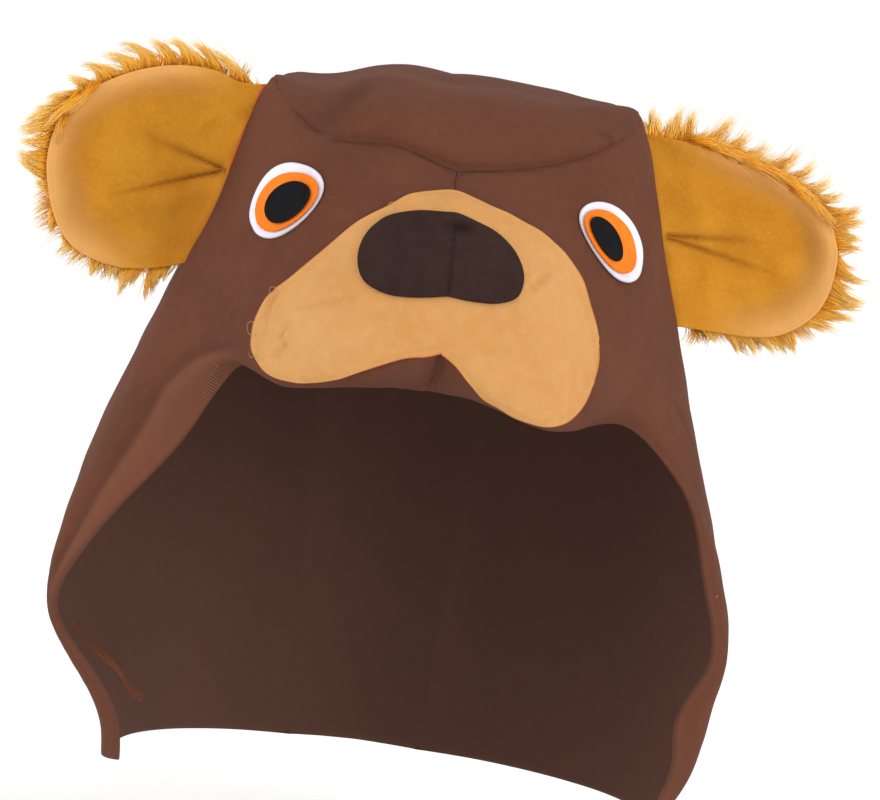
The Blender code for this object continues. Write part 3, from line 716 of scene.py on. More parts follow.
@dataclass(frozen=True)
class Fleece:
    """Brushed knit: a matt nap with fine grain and slow changes of tone. Its warm edge colour is
    the cut edge's own colour on the patches and painted highlight on the hood's turned hems; its
    deep colour is painted shade, and its back colour painted shade on the hood's inner face.
    """

    name: str
    base: Triple
    shade: Triple
    light: Triple
    # edge: the cut edge's own colour on the patches, painted highlight on the hood's turned hems.
    # deep: painted shade in creases and dents.
    edge: Triple
    deep: Triple
    grain: float = 1300.0
    nap: float = 0.35
    sheen: float = 0.25
    # back: painted shade, a greyer tone laid on the hood's inner face for the shade inside it.
    back: Triple = (0.060, 0.032, 0.026)
    inside_shade_share: float = 0.0

    def make(self) -> bpy.types.Material:
        """Build the material.

        Returns:
            The material.
        """
        recipe = Recipe(self.name)
        slow = recipe.spread(recipe.noise(22.0, 3.0), 0.35, 0.65)
        colour = recipe.blend(slow, self.base, self.shade)
        patchy = recipe.spread(recipe.noise(190.0, 4.0, 0.62), 0.45, 0.80, 0.0, 0.42)
        colour = recipe.blend(patchy, colour, self.light)
        fine = recipe.noise(self.grain, 3.0, 0.6)
        colour = recipe.blend(recipe.spread(fine, 0.42, 0.30, 0.0, 0.45), colour, self.shade)
        # Painted highlight on the hood's turned hems; on the patches, the cut edge's own colour.
        colour = recipe.blend(recipe.stored("edge"), colour, self.edge)
        # Painted shade in creases, dents and valleys.
        colour = recipe.blend(recipe.stored("crease"), colour, self.deep)
        # Painted shade on the inner face, greyed for the shade inside the hood.
        if self.inside_shade_share > 0.0:
            turned = recipe.spread(recipe.stored("inside"), 0.0, 1.0, 0.0, self.inside_shade_share)
            colour = recipe.blend(turned, colour, self.back)
        tufts = recipe.noise(self.grain * 0.45, 3.0, 0.65)
        recipe.relief(recipe.sum(fine, tufts, 0.9), self.nap, 0.0004)
        rough = recipe.spread(tufts, 0.3, 0.7, 0.86, 0.98)
        return recipe.surface(colour, rough, self.sheen, self.light, 0.12)


@dataclass(frozen=True)
class Velour:
    """Short cut pile with small nubs and a soft sheen; its edge colour is painted highlight along
    the ear's rolled rim and its deep colour painted shade in the pleats and hollow.
    """

    name: str
    base: Triple
    shade: Triple
    light: Triple
    edge: Triple
    deep: Triple

    def make(self) -> bpy.types.Material:
        """Build the material.

        Returns:
            The material.
        """
        recipe = Recipe(self.name)
        slow = recipe.spread(recipe.noise(46.0, 4.0, 0.55), 0.36, 0.66)
        colour = recipe.blend(slow, self.base, self.shade)
        nubs = recipe.noise(520.0, 4.0, 0.68)
        colour = recipe.blend(recipe.spread(nubs, 0.50, 0.74, 0.0, 0.32), colour, self.light)
        colour = recipe.blend(recipe.spread(nubs, 0.44, 0.28, 0.0, 0.40), colour, self.shade)
        # Painted highlight along the ear's rolled rim.
        colour = recipe.blend(recipe.stored("edge"), colour, self.edge)
        # Painted shade in the pleats, the hollow, the tucks and along the base.
        colour = recipe.blend(recipe.stored("crease"), colour, self.deep)
        fine = recipe.noise(1900.0, 2.0)
        recipe.relief(recipe.sum(nubs, fine, 0.4), 0.55, 0.0006)
        rough = recipe.spread(nubs, 0.3, 0.7, 0.80, 0.95)
        return recipe.surface(colour, rough, 0.20, self.light, 0.12)


@dataclass(frozen=True)
class Pile:
    """Long pile: a golden length, each strand its own tone, with deep roots that are partly painted
    shade at the fringe's base and pale tips that are partly painted light shining through them.
    """

    name: str
    root: Triple
    length: Triple
    tip: Triple

    def make(self) -> bpy.types.Material:
        """Build the material.

        Returns:
            The material.
        """
        recipe = Recipe(self.name)
        share = recipe.stored("share")
        # Darker roots: partly painted shade at the fringe's base. Paler tips: partly painted light
        # through the fine tips.
        lower = recipe.spread(share, 0.0, 0.42)
        colour = recipe.blend(lower, self.root, self.length)
        upper = recipe.spread(share, 0.35, 0.98, 0.0, 0.95)
        colour = recipe.blend(upper, colour, self.tip)
        tone = recipe.spread(recipe.stored("tone"), 0.45, 1.0, 0.0, 0.50)
        colour = recipe.blend(tone, colour, self.root)
        streak = recipe.noise(900.0, 2.0)
        colour = recipe.blend(recipe.spread(streak, 0.5, 0.8, 0.0, 0.35), colour, self.length)
        recipe.relief(streak, 0.2, 0.0002)
        rough = recipe.spread(streak, 0.3, 0.7, 0.55, 0.75)
        return recipe.surface(colour, rough, 0.10, self.length, 0.08)


@dataclass(frozen=True)
class Thread:
    """Twisted sewing thread."""

    name: str
    base: Triple
    shade: Triple

    def make(self) -> bpy.types.Material:
        """Build the material.

        Returns:
            The material.
        """
        recipe = Recipe(self.name)
        twist = recipe.noise(2600.0, 1.0)
        colour = recipe.blend(recipe.spread(twist, 0.35, 0.65), self.base, self.shade)
        recipe.relief(twist, 0.3, 0.0002)
        rough = recipe.spread(twist, 0.3, 0.7, 0.55, 0.8)
        return recipe.surface(colour, rough, 0.10, self.base, 0.3)


@dataclass(frozen=True)
class Backdrop:
    """Plain pale studio floor."""

    name: str
    base: Triple
    shade: Triple

    def make(self) -> bpy.types.Material:
        """Build the material.

        Returns:
            The material.
        """
        recipe = Recipe(self.name)
        slow = recipe.noise(0.9, 2.0)
        colour = recipe.blend(recipe.spread(slow, 0.3, 0.7), self.base, self.shade)
        rough = recipe.spread(slow, 0.3, 0.7, 0.85, 0.95)
        return recipe.surface(colour, rough, 0.0, self.base, 0.1)


FINISHES = (
    # Brown fleece: its edge colour is painted highlight on the hems, its deep and back colours
    # painted shade.
    Fleece("brown_fleece_nap", (0.112, 0.0390, 0.0215), (0.094, 0.0325, 0.0180),
           (0.132, 0.0490, 0.0290), (0.165, 0.0640, 0.0370), (0.048, 0.0190, 0.0120),
           sheen=0.08, back=(0.094, 0.050, 0.038), inside_shade_share=0.70),
    Fleece("tan_fleece_nap", (0.525, 0.265, 0.092), (0.470, 0.225, 0.068),
           (0.580, 0.325, 0.138), (0.420, 0.095, 0.024), (0.300, 0.120, 0.034),
           grain=1100.0, nap=0.6, sheen=0.2),
    Fleece("nose_fleece_nap", (0.0310, 0.0148, 0.0118), (0.0240, 0.0110, 0.0090),
           (0.0450, 0.0230, 0.0190), (0.0180, 0.0090, 0.0075), (0.0090, 0.0045, 0.0040),
           sheen=0.08),
    Fleece("eye_white_felt", (0.700, 0.690, 0.755), (0.640, 0.630, 0.700),
           (0.770, 0.760, 0.820), (0.380, 0.300, 0.300), (0.400, 0.380, 0.400), nap=0.2,
           sheen=0.1),
    Fleece("eye_orange_felt", (0.840, 0.190, 0.014), (0.780, 0.155, 0.010),
           (0.870, 0.240, 0.030), (0.600, 0.110, 0.010), (0.500, 0.100, 0.010), nap=0.2,
           sheen=0.1),
    Fleece("eye_black_felt", (0.0055, 0.0052, 0.0070), (0.0045, 0.0042, 0.0055),
           (0.0090, 0.0085, 0.0110), (0.0090, 0.0080, 0.0085), (0.0030, 0.0030, 0.0030), nap=0.2,
           sheen=0.03),
    # Gold velour: its edge colour is painted highlight on the rim, its deep colour painted shade.
    Velour("gold_velour_nap", (0.530, 0.225, 0.0165), (0.450, 0.170, 0.0100),
           (0.640, 0.320, 0.0480), (0.720, 0.390, 0.1450), (0.250, 0.075, 0.0070)),
    Pile("gold_pile", (0.820, 0.290, 0.016), (0.940, 0.490, 0.052), (0.970, 0.720, 0.280)),
    Thread("tan_thread", (0.560, 0.360, 0.170), (0.400, 0.210, 0.080)),
    Thread("pale_brown_thread", (0.270, 0.130, 0.080), (0.200, 0.090, 0.055)),
    # Rust-coloured thread of the inside ladder, its tone set darker as painted shade for the shade
    # inside the hood.
    Thread("rust_thread", (0.400, 0.130, 0.050), (0.300, 0.090, 0.035)),
    Thread("lint_thread", (0.620, 0.560, 0.500), (0.520, 0.450, 0.390)),
    Thread("cut_edge_red", (0.500, 0.085, 0.014), (0.370, 0.060, 0.011)),
    Backdrop("studio_floor", (0.960, 0.960, 0.960), (0.950, 0.950, 0.950)),
)


class Wardrobe:
    """Makes every finish once and puts it on the pieces."""

    def __init__(self) -> None:
        """Make the materials."""
        self.materials: Dict[str, bpy.types.Material] = {}
        for finish in FINISHES:
            self.materials[finish.name] = finish.make()

    def dress(self, piece: bpy.types.Object, finish: str) -> bpy.types.Object:
        """Give a piece its only material.

        Args:
            piece: The piece.
            finish: The finish's name.

        Returns:
            The piece.
        """
        piece.data.materials.clear()
        piece.data.materials.append(self.materials[finish])
        return piece


@dataclass
class HoodForm:
    """The hood's surfaces: two side panels and a crown panel between them."""

    half_width: float = 0.146
    depth: float = 0.260
    height: float = 0.310
    dent_free: float = 0.0003
    wall: float = 0.0020
    corner: float = 0.54
    crown_fullness: float = 1.8
    guide_places: Tuple[float, ...] = (0.0, 0.16, 0.34, 0.58, 0.80, 1.0)
    sections: Tuple[Section, ...] = SECTIONS
    folds: Tuple[Fold, ...] = FOLDS
    rises: Tuple[Rise, ...] = RISES
    crown_folds: Tuple[CrownFold, ...] = CROWN_FOLDS

    def __post_init__(self) -> None:
        """Scale the guides and find the seat."""
        scale = (self.half_width, self.depth, self.height)
        self.guides = np.array([section.guides for section in self.sections]) * scale
        self.section_places = [section.along for section in self.sections]
        self.seat = np.zeros(3)
        line = self.crown(np.zeros(201), np.linspace(0.0, 1.0, 201))
        top = line[: np.argmax(line[:, 1]) + 1]
        self.seat = np.array((0.0, 0.0, float(np.interp(0.0, top[:, 1], top[:, 2])) - self.wall))

    def panel(self, side: Array, along: Array, across: Array) -> Array:
        """Points on a side panel's outer face.

        Args:
            side: 1 on the wearer's left, -1 on the right.
            along: 0 at the middle of the brow to 1 at the neck.
            across: 0 at the front edge to 1 at the crown seam.

        Returns:
            Points of the same shape as along, with a last axis of 3.
        """
        along, across = np.broadcast_arrays(np.asarray(along, float), np.asarray(across, float))
        shape = along.shape
        side = np.broadcast_to(side, shape).ravel()
        along, across = along.ravel(), across.ravel()
        point = np.einsum("pi,pj,ijk->pk", weights(self.section_places, along),
                          weights(self.guide_places, across), self.guides, optimize=True)
        off_seam = np.clip(along / 0.12, 0.0, 1.0)
        for fold in self.folds:
            reach = ((along - fold.along) / fold.reach_along) ** 2
            reach = reach + ((across - fold.across) / fold.reach_across) ** 2
            weight = np.exp(-reach) * ((side == fold.side) | (fold.side == 0))
            point[:, 0] += weight * off_seam * fold.out * self.half_width
            point[:, 1] += weight * fold.back * self.depth
            point[:, 2] += weight * fold.up * self.height
        point[:, 0] = np.where(along <= 0.0, 0.0, point[:, 0]) * side
        return point.reshape(shape + (3,)) - self.seat

    def panel_normal(self, side: Array, along: Array, across: Array) -> Array:
        """Outward directions of a side panel.

        Args:
            side: 1 on the wearer's left, -1 on the right.
            along: Places along the panel, as for panel.
            across: Places across it.

        Returns:
            Unit vectors, one for each place.
        """
        step = SLOPE_STEP
        along, across = np.broadcast_arrays(np.asarray(along, float), np.asarray(across, float))
        inside = np.maximum(along, step)
        run_along = (self.panel(side, inside + step, across)
                     - self.panel(side, inside - step, across))
        run_across = (self.panel(side, inside, across + step)
                      - self.panel(side, inside, across - step))
        normal = np.cross(run_along, run_across) * np.broadcast_to(side, along.shape)[..., None]
        normal[..., 0] = np.where(along <= 0.0, 0.0, normal[..., 0])
        return unit(normal)

    def crown(self, across: Array, place: Array) -> Array:
        """Points on the crown panel.

        Args:
            across: -1 at the wearer's right seam to 1 at the left one.
            place: 0 at the front seam to 1 at the neck.

        Returns:
            Points of the same shape, with a last axis of 3.
        """
        across, place = np.broadcast_arrays(np.asarray(across, float), np.asarray(place, float))
        shape = across.shape
        across, place = across.ravel(), place.ravel()
        ones = np.ones_like(across)
        side = np.where(across < 0.0, -1.0, 1.0)
        front = self.panel(side, np.abs(across) * self.corner, ones)
        along = self.corner + (1.0 - self.corner) * place
        right, left = self.panel(-ones, along, ones), self.panel(ones, along, ones)
        ends = np.array([1.0, 1.0])
        front_right, front_left = self.panel(np.array([-1.0, 1.0]), ends * self.corner, ends)
        neck_right, neck_left = self.panel(np.array([-1.0, 1.0]), ends, ends)
        share = ((across + 1.0) / 2.0)[:, None]
        run = place[:, None]
        neck = (1 - share) * neck_right + share * neck_left
        point = (1 - run) * front + run * neck + (1 - share) * right + share * left
        point = point - (1 - run) * ((1 - share) * front_right + share * front_left) - run * neck
        rises = np.array([(0.0, rise.back * self.depth, rise.up * self.height)
                          for rise in self.rises])
        rise = weights([rise.place for rise in self.rises], place) @ rises
        for fold in self.crown_folds:
            reach = ((across - fold.across) / fold.reach_across) ** 2
            reach = reach + ((place - fold.place) / fold.reach_place) ** 2
            rise[:, 2] += np.exp(-reach) * fold.up * self.height
        point = point + rise * (1.0 - np.abs(across) ** self.crown_fullness)[:, None]
        return point.reshape(shape + (3,))

    def crown_normal(self, across: Array, place: Array) -> Array:
        """Outward directions of the crown panel.

        Args:
            across: Places across the panel, as for crown.
            place: Places down it.

        Returns:
            Unit vectors, one for each place.
        """
        step = SLOPE_STEP
        across = np.clip(np.asarray(across, float), -1.0 + step, 1.0 - step)
        place = np.clip(np.asarray(place, float), step, 1.0 - step)
        run_across = self.crown(across + step, place) - self.crown(across - step, place)
        run_back = self.crown(across, place + step) - self.crown(across, place - step)
        return unit(np.cross(run_across, run_back))

    def seam_place(self, side: float, along: Array) -> Tuple[Array, Array]:
        """The crown's coordinates, across and down, beside a place on a side panel's seam.

        Args:
            side: 1 on the wearer's left, -1 on the right.
            along: Places along the panel.

        Returns:
            Places across and down the crown.
        """
        across = side * np.minimum(along / self.corner, 1.0)
        place = np.clip((along - self.corner) / (1.0 - self.corner), 0.0, 1.0)
        return across, place

    def mitre(self, own: Array, other: Array) -> Array:
        """Inward step that splits the joint of two walls evenly.

        Args:
            own: Outward directions of the wall itself.
            other: Outward directions of the wall that it meets.

        Returns:
            The step from the outer corner to the inner one.
        """
        middle = unit(own + other)
        lean = np.clip(np.sum(middle * own, axis=-1, keepdims=True), 0.5, 1.0)
        return -middle * self.wall / lean

    def on_panels(self, places: Array, lift: Array) -> Array:
        """Points lifted off the side panels.

        Args:
            places: Along and across; a negative along is on the wearer's right.
            lift: Height of each point over the panel's face.

        Returns:
            Points in the hood's frame.
        """
        side = np.where(places[..., 0] < 0.0, -1.0, 1.0)
        along = np.abs(places[..., 0])
        normal = self.panel_normal(side, along, places[..., 1])
        return self.panel(side, along, places[..., 1]) + normal * np.asarray(lift)[..., None]

    def reach(self, side: float, back: Array, up: Array) -> Array:
        """Distance out of a side panel's face, found by a few Newton steps.

        Args:
            side: 1 on the wearer's left, -1 on the right.
            back: Places back, in metres.
            up: Places up, in metres.

        Returns:
            The distance from the middle plane at each place.
        """
        along, across = np.full(back.shape, 0.59), np.full(back.shape, 0.60)
        step = SLOPE_STEP
        for _ in range(8):
            here = self.panel(side, along, across)
            by_along = (self.panel(side, along + step, across) - here) / step
            by_across = (self.panel(side, along, across + step) - here) / step
            miss_back, miss_up = back - here[..., 1], up - here[..., 2]
            scale = by_along[..., 1] * by_across[..., 2] - by_along[..., 2] * by_across[..., 1]
            along = along + (miss_back * by_across[..., 2] - miss_up * by_across[..., 1]) / scale
            across = across + (miss_up * by_along[..., 1] - miss_back * by_along[..., 2]) / scale
            along, across = np.clip(along, 0.40, 0.85), np.clip(across, 0.05, 0.99)
        return np.abs(self.panel(side, along, across)[..., 0])


@dataclass
class SidePanel:
    """One brown half of the hood, with its turned hem and its seams."""

    form: HoodForm
    side: Side
    hem_width: float = 0.012
    hem_wall: float = 0.0029
    seam_gap: float = -0.00020
    groove: float = 0.0011
    row_count: int = 176
    column_count: int = 92
    flat: Pair = (0.290, 0.440)
    flat_area: float = 0.0805
    ridge: Tuple[Pair, ...] = ((0.36, 0.196), (0.382, 0.173), (0.426, 0.153), (0.470, 0.163),
                               (0.510, 0.160), (0.542, 0.153), (0.590, 0.120), (0.642, 0.103),
                               (0.690, 0.083), (0.760, 0.050), (0.840, 0.020))
    rows: Array = field(init=False, repr=False)

    @property
    def name(self) -> str:
        """The frame's name for this panel."""
        return f"side_panel_{self.side.word}"

    def stations(self) -> Tuple[Array, Array]:
        """Places along and across the panel, close together at its edges.

        Returns:
            Grids of the two.
        """
        start = np.array((0.0, 0.002, 0.005, 0.009, 0.014, 0.020))
        end = 1.0 - np.array((0.0095, 0.006, 0.0035, 0.0018, 0.0007, 0.0))
        middle = np.linspace(0.026, 0.985, self.row_count - len(start) - len(end))
        along = np.concatenate((start, middle, end))
        fine = np.linspace(0.0, 1.0, 301)
        sign = float(self.side.value)
        run = lengths_along(self.form.panel(sign, along[:, None], fine[None, :]), 1)
        near = np.array((0.0, 0.0002, 0.0005, 0.0009, 0.0015, 0.0024, 0.0036, 0.0050, 0.0064,
                         0.0076, 0.0082, 0.0088, 0.0095, 0.0102, 0.0109, 0.0116, 0.0124,
                         0.0134, 0.0150, 0.0170))
        far = np.array((0.0120, 0.0085, 0.0060, 0.0042, 0.0028, 0.0018, 0.0010, 0.0004, 0.0))
        share = np.linspace(0.0, 1.0, self.column_count - len(near) - len(far) + 2)[1:-1]
        across = np.empty((len(along), self.column_count))
        for k, length in enumerate(run[:, -1]):
            wanted = np.concatenate((near, near[-1] + (length - far[0] - near[-1]) * share,
                                     length - far))
            across[k] = np.interp(wanted, run[k], fine)
        self.rows = along
        return np.repeat(along[:, None], self.column_count, axis=1), across

    def swell(self, along: Array, across: Array, points: Array, from_edge: Array,
              from_crown: Array) -> Array:
        """How far the cloth stands out of its plain form.

        Args:
            along: Places along the panel.
            across: Places across it.
            points: The plain form's points.
            from_edge: Distance of each point from the front edge.
            from_crown: Distance of each point from the crown seam.

        Returns:
            The outward step at each point, in metres.
        """
        from_centre = np.abs(points[..., 0])
        run = lengths_along(points, 0)
        height = 0.0005 * unevenness(points, 0.060, 11 + self.side.value)
        height += 0.00022 * unevenness(points, 0.022, 21 + self.side.value)
        height *= ease(from_edge, 0.0, 0.030) * ease(from_crown, 0.0, 0.010)
        hem = ease(from_edge, self.hem_width * 1.12, self.hem_width * 0.92)
        height += 0.00025 * hem
        pucker = np.sin(run * 2.0 * math.pi / 0.0095 + 2.0 * unevenness(points, 0.05, 5))
        height += 0.00010 * pucker * hump(from_edge - 0.0100, 0.0060)
        for gap, wave in ((from_centre, 0.013), (from_crown, 0.011)):
            open_end = 0.25 + 0.75 * ease(from_edge, 0.0, 0.014)
            height -= open_end * seam_dip(gap, self.groove)
            height += seam_ripple(points, gap, (0.4, 1.0, 0.8), wave)
        if self.side is Side.RIGHT:
            offset, strength = self.from_ridge(along, across)
            height += 0.0015 * strength * ease(offset, 0.0015, -0.0060)
            height -= 0.0012 * strength * hump(offset - 0.0055, 0.0050)
        else:
            height -= 0.0007 * self.temple_crease(along, across)
        return height

    def from_ridge(self, along: Array, across: Array) -> Tuple[Array, Array]:
        """Distance outside the band turned back beside the opening, and how far it shows.

        Args:
            along: Places along the panel.
            across: Places across the panel.

        Returns:
            Distance in metres, and the share shown from 0 to 1.
        """
        line = np.array(self.ridge)
        middle = np.interp(along, line[:, 0], line[:, 1])
        strength = ease(along, 0.35, 0.45) * ease(along, 0.86, 0.74)
        return (across - middle) * 0.20, strength

    def temple_crease(self, along: Array, across: Array) -> Array:
        """How deep in the short crease of the wearer's left temple each place lies."""
        aside = np.abs(across - 0.238 - 0.05 * (along - 0.55)) * 0.19
        return hump(aside, 0.0016) * hump(along - 0.557, 0.045)

    def shading(self, along: Array, across: Array, from_edge: Array) -> Tuple[Array, Array]:
        """Painted highlight on the turned edges and on the band beside the opening, and painted
        shade in the creases, from 0 to 1.

        Args:
            along: Places along the panel.
            across: Places across the panel.
            from_edge: Distance of each place from the opening's edge.

        Returns:
            Painted highlight and painted shade, one of each for each place.
        """
        # Painted highlight along the turned hem's edge.
        light = 0.10 * ease(from_edge, 0.0040, 0.0003)
        if self.side is Side.LEFT:
            return light, 0.30 * self.temple_crease(along, across)
        # Painted highlight on the band turned back beside the opening, painted shade in the valley
        # outside it.
        offset, strength = self.from_ridge(along, across)
        band = ease(offset, 0.0005, -0.0035) * (0.55 + 0.45 * hump(offset + 0.006, 0.006))
        dark = 0.32 * strength * hump(offset - 0.0030, 0.0040)
        return np.maximum(light, 0.55 * strength * band), dark

    def build(self, wardrobe: Wardrobe) -> bpy.types.Object:
        """Make the panel.

        Args:
            wardrobe: The finishes.

        Returns:
            The cloth piece, in place of its frame node.
        """
        form, sign = self.form, float(self.side.value)
        along, across = self.stations()
        points = form.panel(sign, along, across)
        normal = form.panel_normal(sign, along, across)
        run = lengths_along(points, 1)
        from_edge, from_crown = run, run[:, -1:] - run
        from_neck = lengths_along(points[::-1], 0)[::-1]
        thick = self.hem_wall + (form.wall - self.hem_wall) * ease(
            from_edge, self.hem_width, self.hem_width * 1.2)
        thin_out = edge_round(np.minimum(from_edge, from_neck), form.wall)[..., None] * normal
        height = self.swell(along, across, points, from_edge, from_crown)[..., None]
        outer = points + normal * height
        step = -normal * thick[..., None]
        flat = np.abs(form.panel_normal(sign, 0.004, across[0]))
        lean = np.sqrt(np.maximum(1.0 - flat[:, 0] ** 2, 0.25))[:, None]
        centre = -normal[0] * thick[0][:, None] / lean
        beside = form.panel_normal(sign, 0.004, across[0]) * -thick[0][:, None]
        fade = ease(np.abs(points[..., 0]), 0.006, 0.0)[..., None]
        step[1:] += (centre - beside)[None] * fade[1:]
        step[0] = centre
        crown_normal = form.crown_normal(*form.seam_place(sign, self.rows))
        seam = form.mitre(normal[:, -1], crown_normal) + normal[:, -1] * form.wall
        step += seam[:, None] * ease(from_crown, 0.006, 0.0)[..., None]
        free = ease(np.minimum(from_crown, np.abs(points[..., 0])), 0.004, 0.012)[..., None]
        inner = points + step + normal * np.minimum(height + form.dent_free, 0.0) * free
        outer = outer - thin_out
        inner = inner + thin_out * 0.95
        pull = unit(outer[:, -2] - outer[:, -1]) * self.seam_gap * 0.5
        outer[:, -1] += pull
        inner[:, -1] += pull
        for grid in (outer, inner):
            grid[..., 0] = sign * np.maximum(sign * grid[..., 0], self.seam_gap / 2)
        piece = Cloth.wall(f"{self.name}_cloth", outer, inner)
        # Painted highlight and painted shade, stored for the fleece material.
        light, dark = self.shading(along, across, from_edge)
        Cloth.note_grid(piece, "edge", light)
        Cloth.note_grid(piece, "crease", dark)
        wardrobe.dress(piece, "brown_fleece_nap")
        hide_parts(self.name)
        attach(piece, "root")
        return piece


@dataclass
class CrownPanel:
    """The gusset over the top and down the back."""

    form: HoodForm
    seam_gap: float = -0.00020
    groove: float = 0.0011
    valley: Tuple[Pair, ...] = ((-0.60, 0.000), (-0.49, 0.082), (-0.38, 0.155), (-0.31, 0.288))
    tuck: Tuple[Pair, ...] = ((0.72, 0.000), (0.70, 0.042), (0.63, 0.072), (0.58, 0.098))
    row_count: int = 112
    column_count: int = 108
    flat: Pair = (0.155, 0.410)
    flat_area: float = 0.0510

    def stations(self) -> Tuple[Array, Array]:
        """Places across and down the panel, close together at its edges.

        Returns:
            Grids of the two.
        """
        edge = np.array((0.0, 0.004, 0.010, 0.019, 0.032, 0.050, 0.075))
        half = np.linspace(0.105, 1.0, self.column_count // 2 - len(edge) + 1)
        from_side = np.concatenate((edge, half))
        across = np.concatenate((-1.0 + from_side, 1.0 - from_side[-2::-1]))
        top = np.array((0.0, 0.0015, 0.004, 0.0075, 0.012, 0.018))
        low = 1.0 - np.array((0.010, 0.006, 0.003, 0.001, 0.0))
        place = np.concatenate((top, np.linspace(0.026, 0.985, self.row_count - 11), low))
        return np.meshgrid(across, place)

    def swell(self, points: Array, gaps: Array, place: Array, across: Array) -> Array:
        """How far the cloth stands out of its plain form.

        Args:
            points: The plain form's points.
            gaps: Distance of each point from the seams.
            place: Places down the panel.
            across: Places across the panel.

        Returns:
            Distance outward of each point, in metres.
        """
        height = 0.0006 * unevenness(points, 0.060, 31) + 0.00025 * unevenness(points, 0.024, 32)
        height *= ease(gaps, 0.0, 0.012)
        height -= seam_dip(gaps, self.groove)
        height += seam_ripple(points, gaps, (1.0, 0.9, 0.3), 0.0115)
        free = 0.25 + 0.75 * ease(gaps, 0.002, 0.012)
        height -= 0.0024 * free * self.beside(across, place, self.valley, 0.0000, 0.0062)
        height -= 0.0014 * free * self.beside(across, place, self.tuck, 0.0000, 0.0024)
        dent = ((across + 0.22) / 0.16) ** 2 + ((place - 0.16) / 0.05) ** 2
        return height - 0.0014 * np.exp(-dent)

    @staticmethod
    def beside(across: Array, place: Array, line: Sequence[Pair], shift: float, width: float
               ) -> Array:
        """Nearness, 0 to 1, to a line down the panel.

        Args:
            across: Places across the panel.
            place: Places down the panel.
            line: Places along the line, from the front seam backwards.
            shift: How far right of the line the nearest place lies, in metres.
            width: Half width of what is near, in metres.

        Returns:
            One value for each place, fading out past the line's far end.
        """
        points = np.array(line)
        middle = np.interp(place, points[:, 1], points[:, 0])
        end = points[-1, 1]
        offset = (across - middle) * 0.077 + shift
        return hump(offset, width) * ease(place, end, end * 0.6)

    def darkness(self, across: Array, place: Array) -> Array:
        """Shade in the valley over the right brow and in the small tuck on the left."""
        dark = 0.30 * self.beside(across, place, self.valley, 0.0040, 0.0060)
        return dark + 0.35 * self.beside(across, place, self.tuck, 0.0010, 0.0020)

    def build(self, wardrobe: Wardrobe) -> bpy.types.Object:
        """Make the panel.

        Args:
            wardrobe: The finishes.

        Returns:
            The cloth piece, in place of its frame node.
        """
        form = self.form
        across, place = self.stations()
        points = form.crown(across, place)
        normal = form.crown_normal(across, place)
        down, over = lengths_along(points, 0), lengths_along(points, 1)
        gaps = np.minimum(down, np.minimum(over, over[:, -1:] - over))
        from_neck = down[-1:] - down
        height = self.swell(points, gaps, place, across)[..., None]
        outer = points + normal * height
        step = -normal * form.wall
        columns, rows = across[0], place[:, 0]
        front = form.panel_normal(np.where(columns < 0, -1.0, 1.0),
                                  np.abs(columns) * form.corner, np.ones(len(columns)))
        top = form.mitre(normal[0], front) + normal[0] * form.wall
        step += top[None] * ease(down, 0.006, 0.0)[..., None]
        along = form.corner + (1.0 - form.corner) * rows
        for column, side, gap in ((0, -1.0, over), (-1, 1.0, over[:, -1:] - over)):
            beside = form.panel_normal(side, along, np.ones(len(rows)))
            seam = form.mitre(normal[:, column], beside) + normal[:, column] * form.wall
            step += seam[:, None] * (ease(gap, 0.006, 0.0) * ease(down, 0.0, 0.008))[..., None]
        free = ease(gaps, 0.004, 0.012)[..., None]
        inner = points + step + normal * np.minimum(height + form.dent_free, 0.0) * free
        thin_out = edge_round(from_neck, form.wall)[..., None] * normal
        outer, inner = outer - thin_out, inner + thin_out * 0.95
        shrink = self.seam_gap * 0.75
        back = unit(outer[1] - outer[0]) * shrink
        from_right = unit(outer[:, 1] - outer[:, 0]) * shrink
        from_left = unit(outer[:, -2] - outer[:, -1]) * shrink
        for grid in (outer, inner):
            grid[0] += back
            grid[:, 0] += from_right
            grid[:, -1] += from_left
        piece = Cloth.wall("crown_panel_cloth", outer, inner)
        # Painted highlight along the turned neck hem; painted shade in the valley and the tuck.
        Cloth.note_grid(piece, "edge", 0.1 * ease(from_neck, 0.004, 0.0003))
        Cloth.note_grid(piece, "crease", self.darkness(across, place))
        wardrobe.dress(piece, "brown_fleece_nap")
        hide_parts("crown_panel")
        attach(piece, "root")
        return piece


class Disc:
    """A square grid wound onto rings about a middle, so that a round patch has no pole."""

    def __init__(self, rings: int) -> None:
        """Number the rings and turns of the grid's places."""
        steps = np.arange(-rings, rings + 1)
        column, row = np.meshgrid(steps, steps)
        ring = np.maximum(np.abs(column), np.abs(row))
        safe = np.maximum(ring, 1)
        flat_side = np.abs(column) >= np.abs(row)
        turn = np.where(flat_side, row / safe * np.sign(column + (column == 0)),
                        2.0 - column / safe * np.sign(row + (row == 0)))
        turn = np.where(flat_side & (column < 0), turn + 4.0, turn)
        turn = np.where(~flat_side & (row < 0), turn + 4.0, turn)
        self.rings = rings
        self.ring = ring
        self.turn = np.mod(turn / 8.0, 1.0)

    def shares(self, reach: Array, near: Sequence[float]) -> Array:
        """Share of the way from the middle to the outline at each place.

        Args:
            reach: Distance from the middle to the outline on each place's turn.
            near: Distances from the outline of the outermost rings, rising.

        Returns:
            Shares from 0 to 1, one for each place of the grid.
        """
        count = len(near)
        inside = self.rings - count
        last = 1.0 - near[-1] / reach
        even = last * self.ring / (inside + 1)
        index = np.clip(self.rings - self.ring, 0, count - 1)
        close = 1.0 - np.asarray(near)[index] / reach
        return np.where(self.ring > inside, close, even)


def closed_curve(points: Array, places: Array) -> Array:
    """Smooth closed curve through points, read at places from 0 to 1.

    Args:
        points: Points in order round the curve.
        places: Places to read it at.

    Returns:
        Points of the curve.
    """
    loop = np.concatenate((points[-3:], points, points[:4]))
    runs = lengths_along(loop, 0)
    start, end = runs[3], runs[3 + len(points)]
    wanted = start + (end - start) * places
    return cubic(loop, runs, wanted.ravel()).reshape(places.shape + (loop.shape[1],))


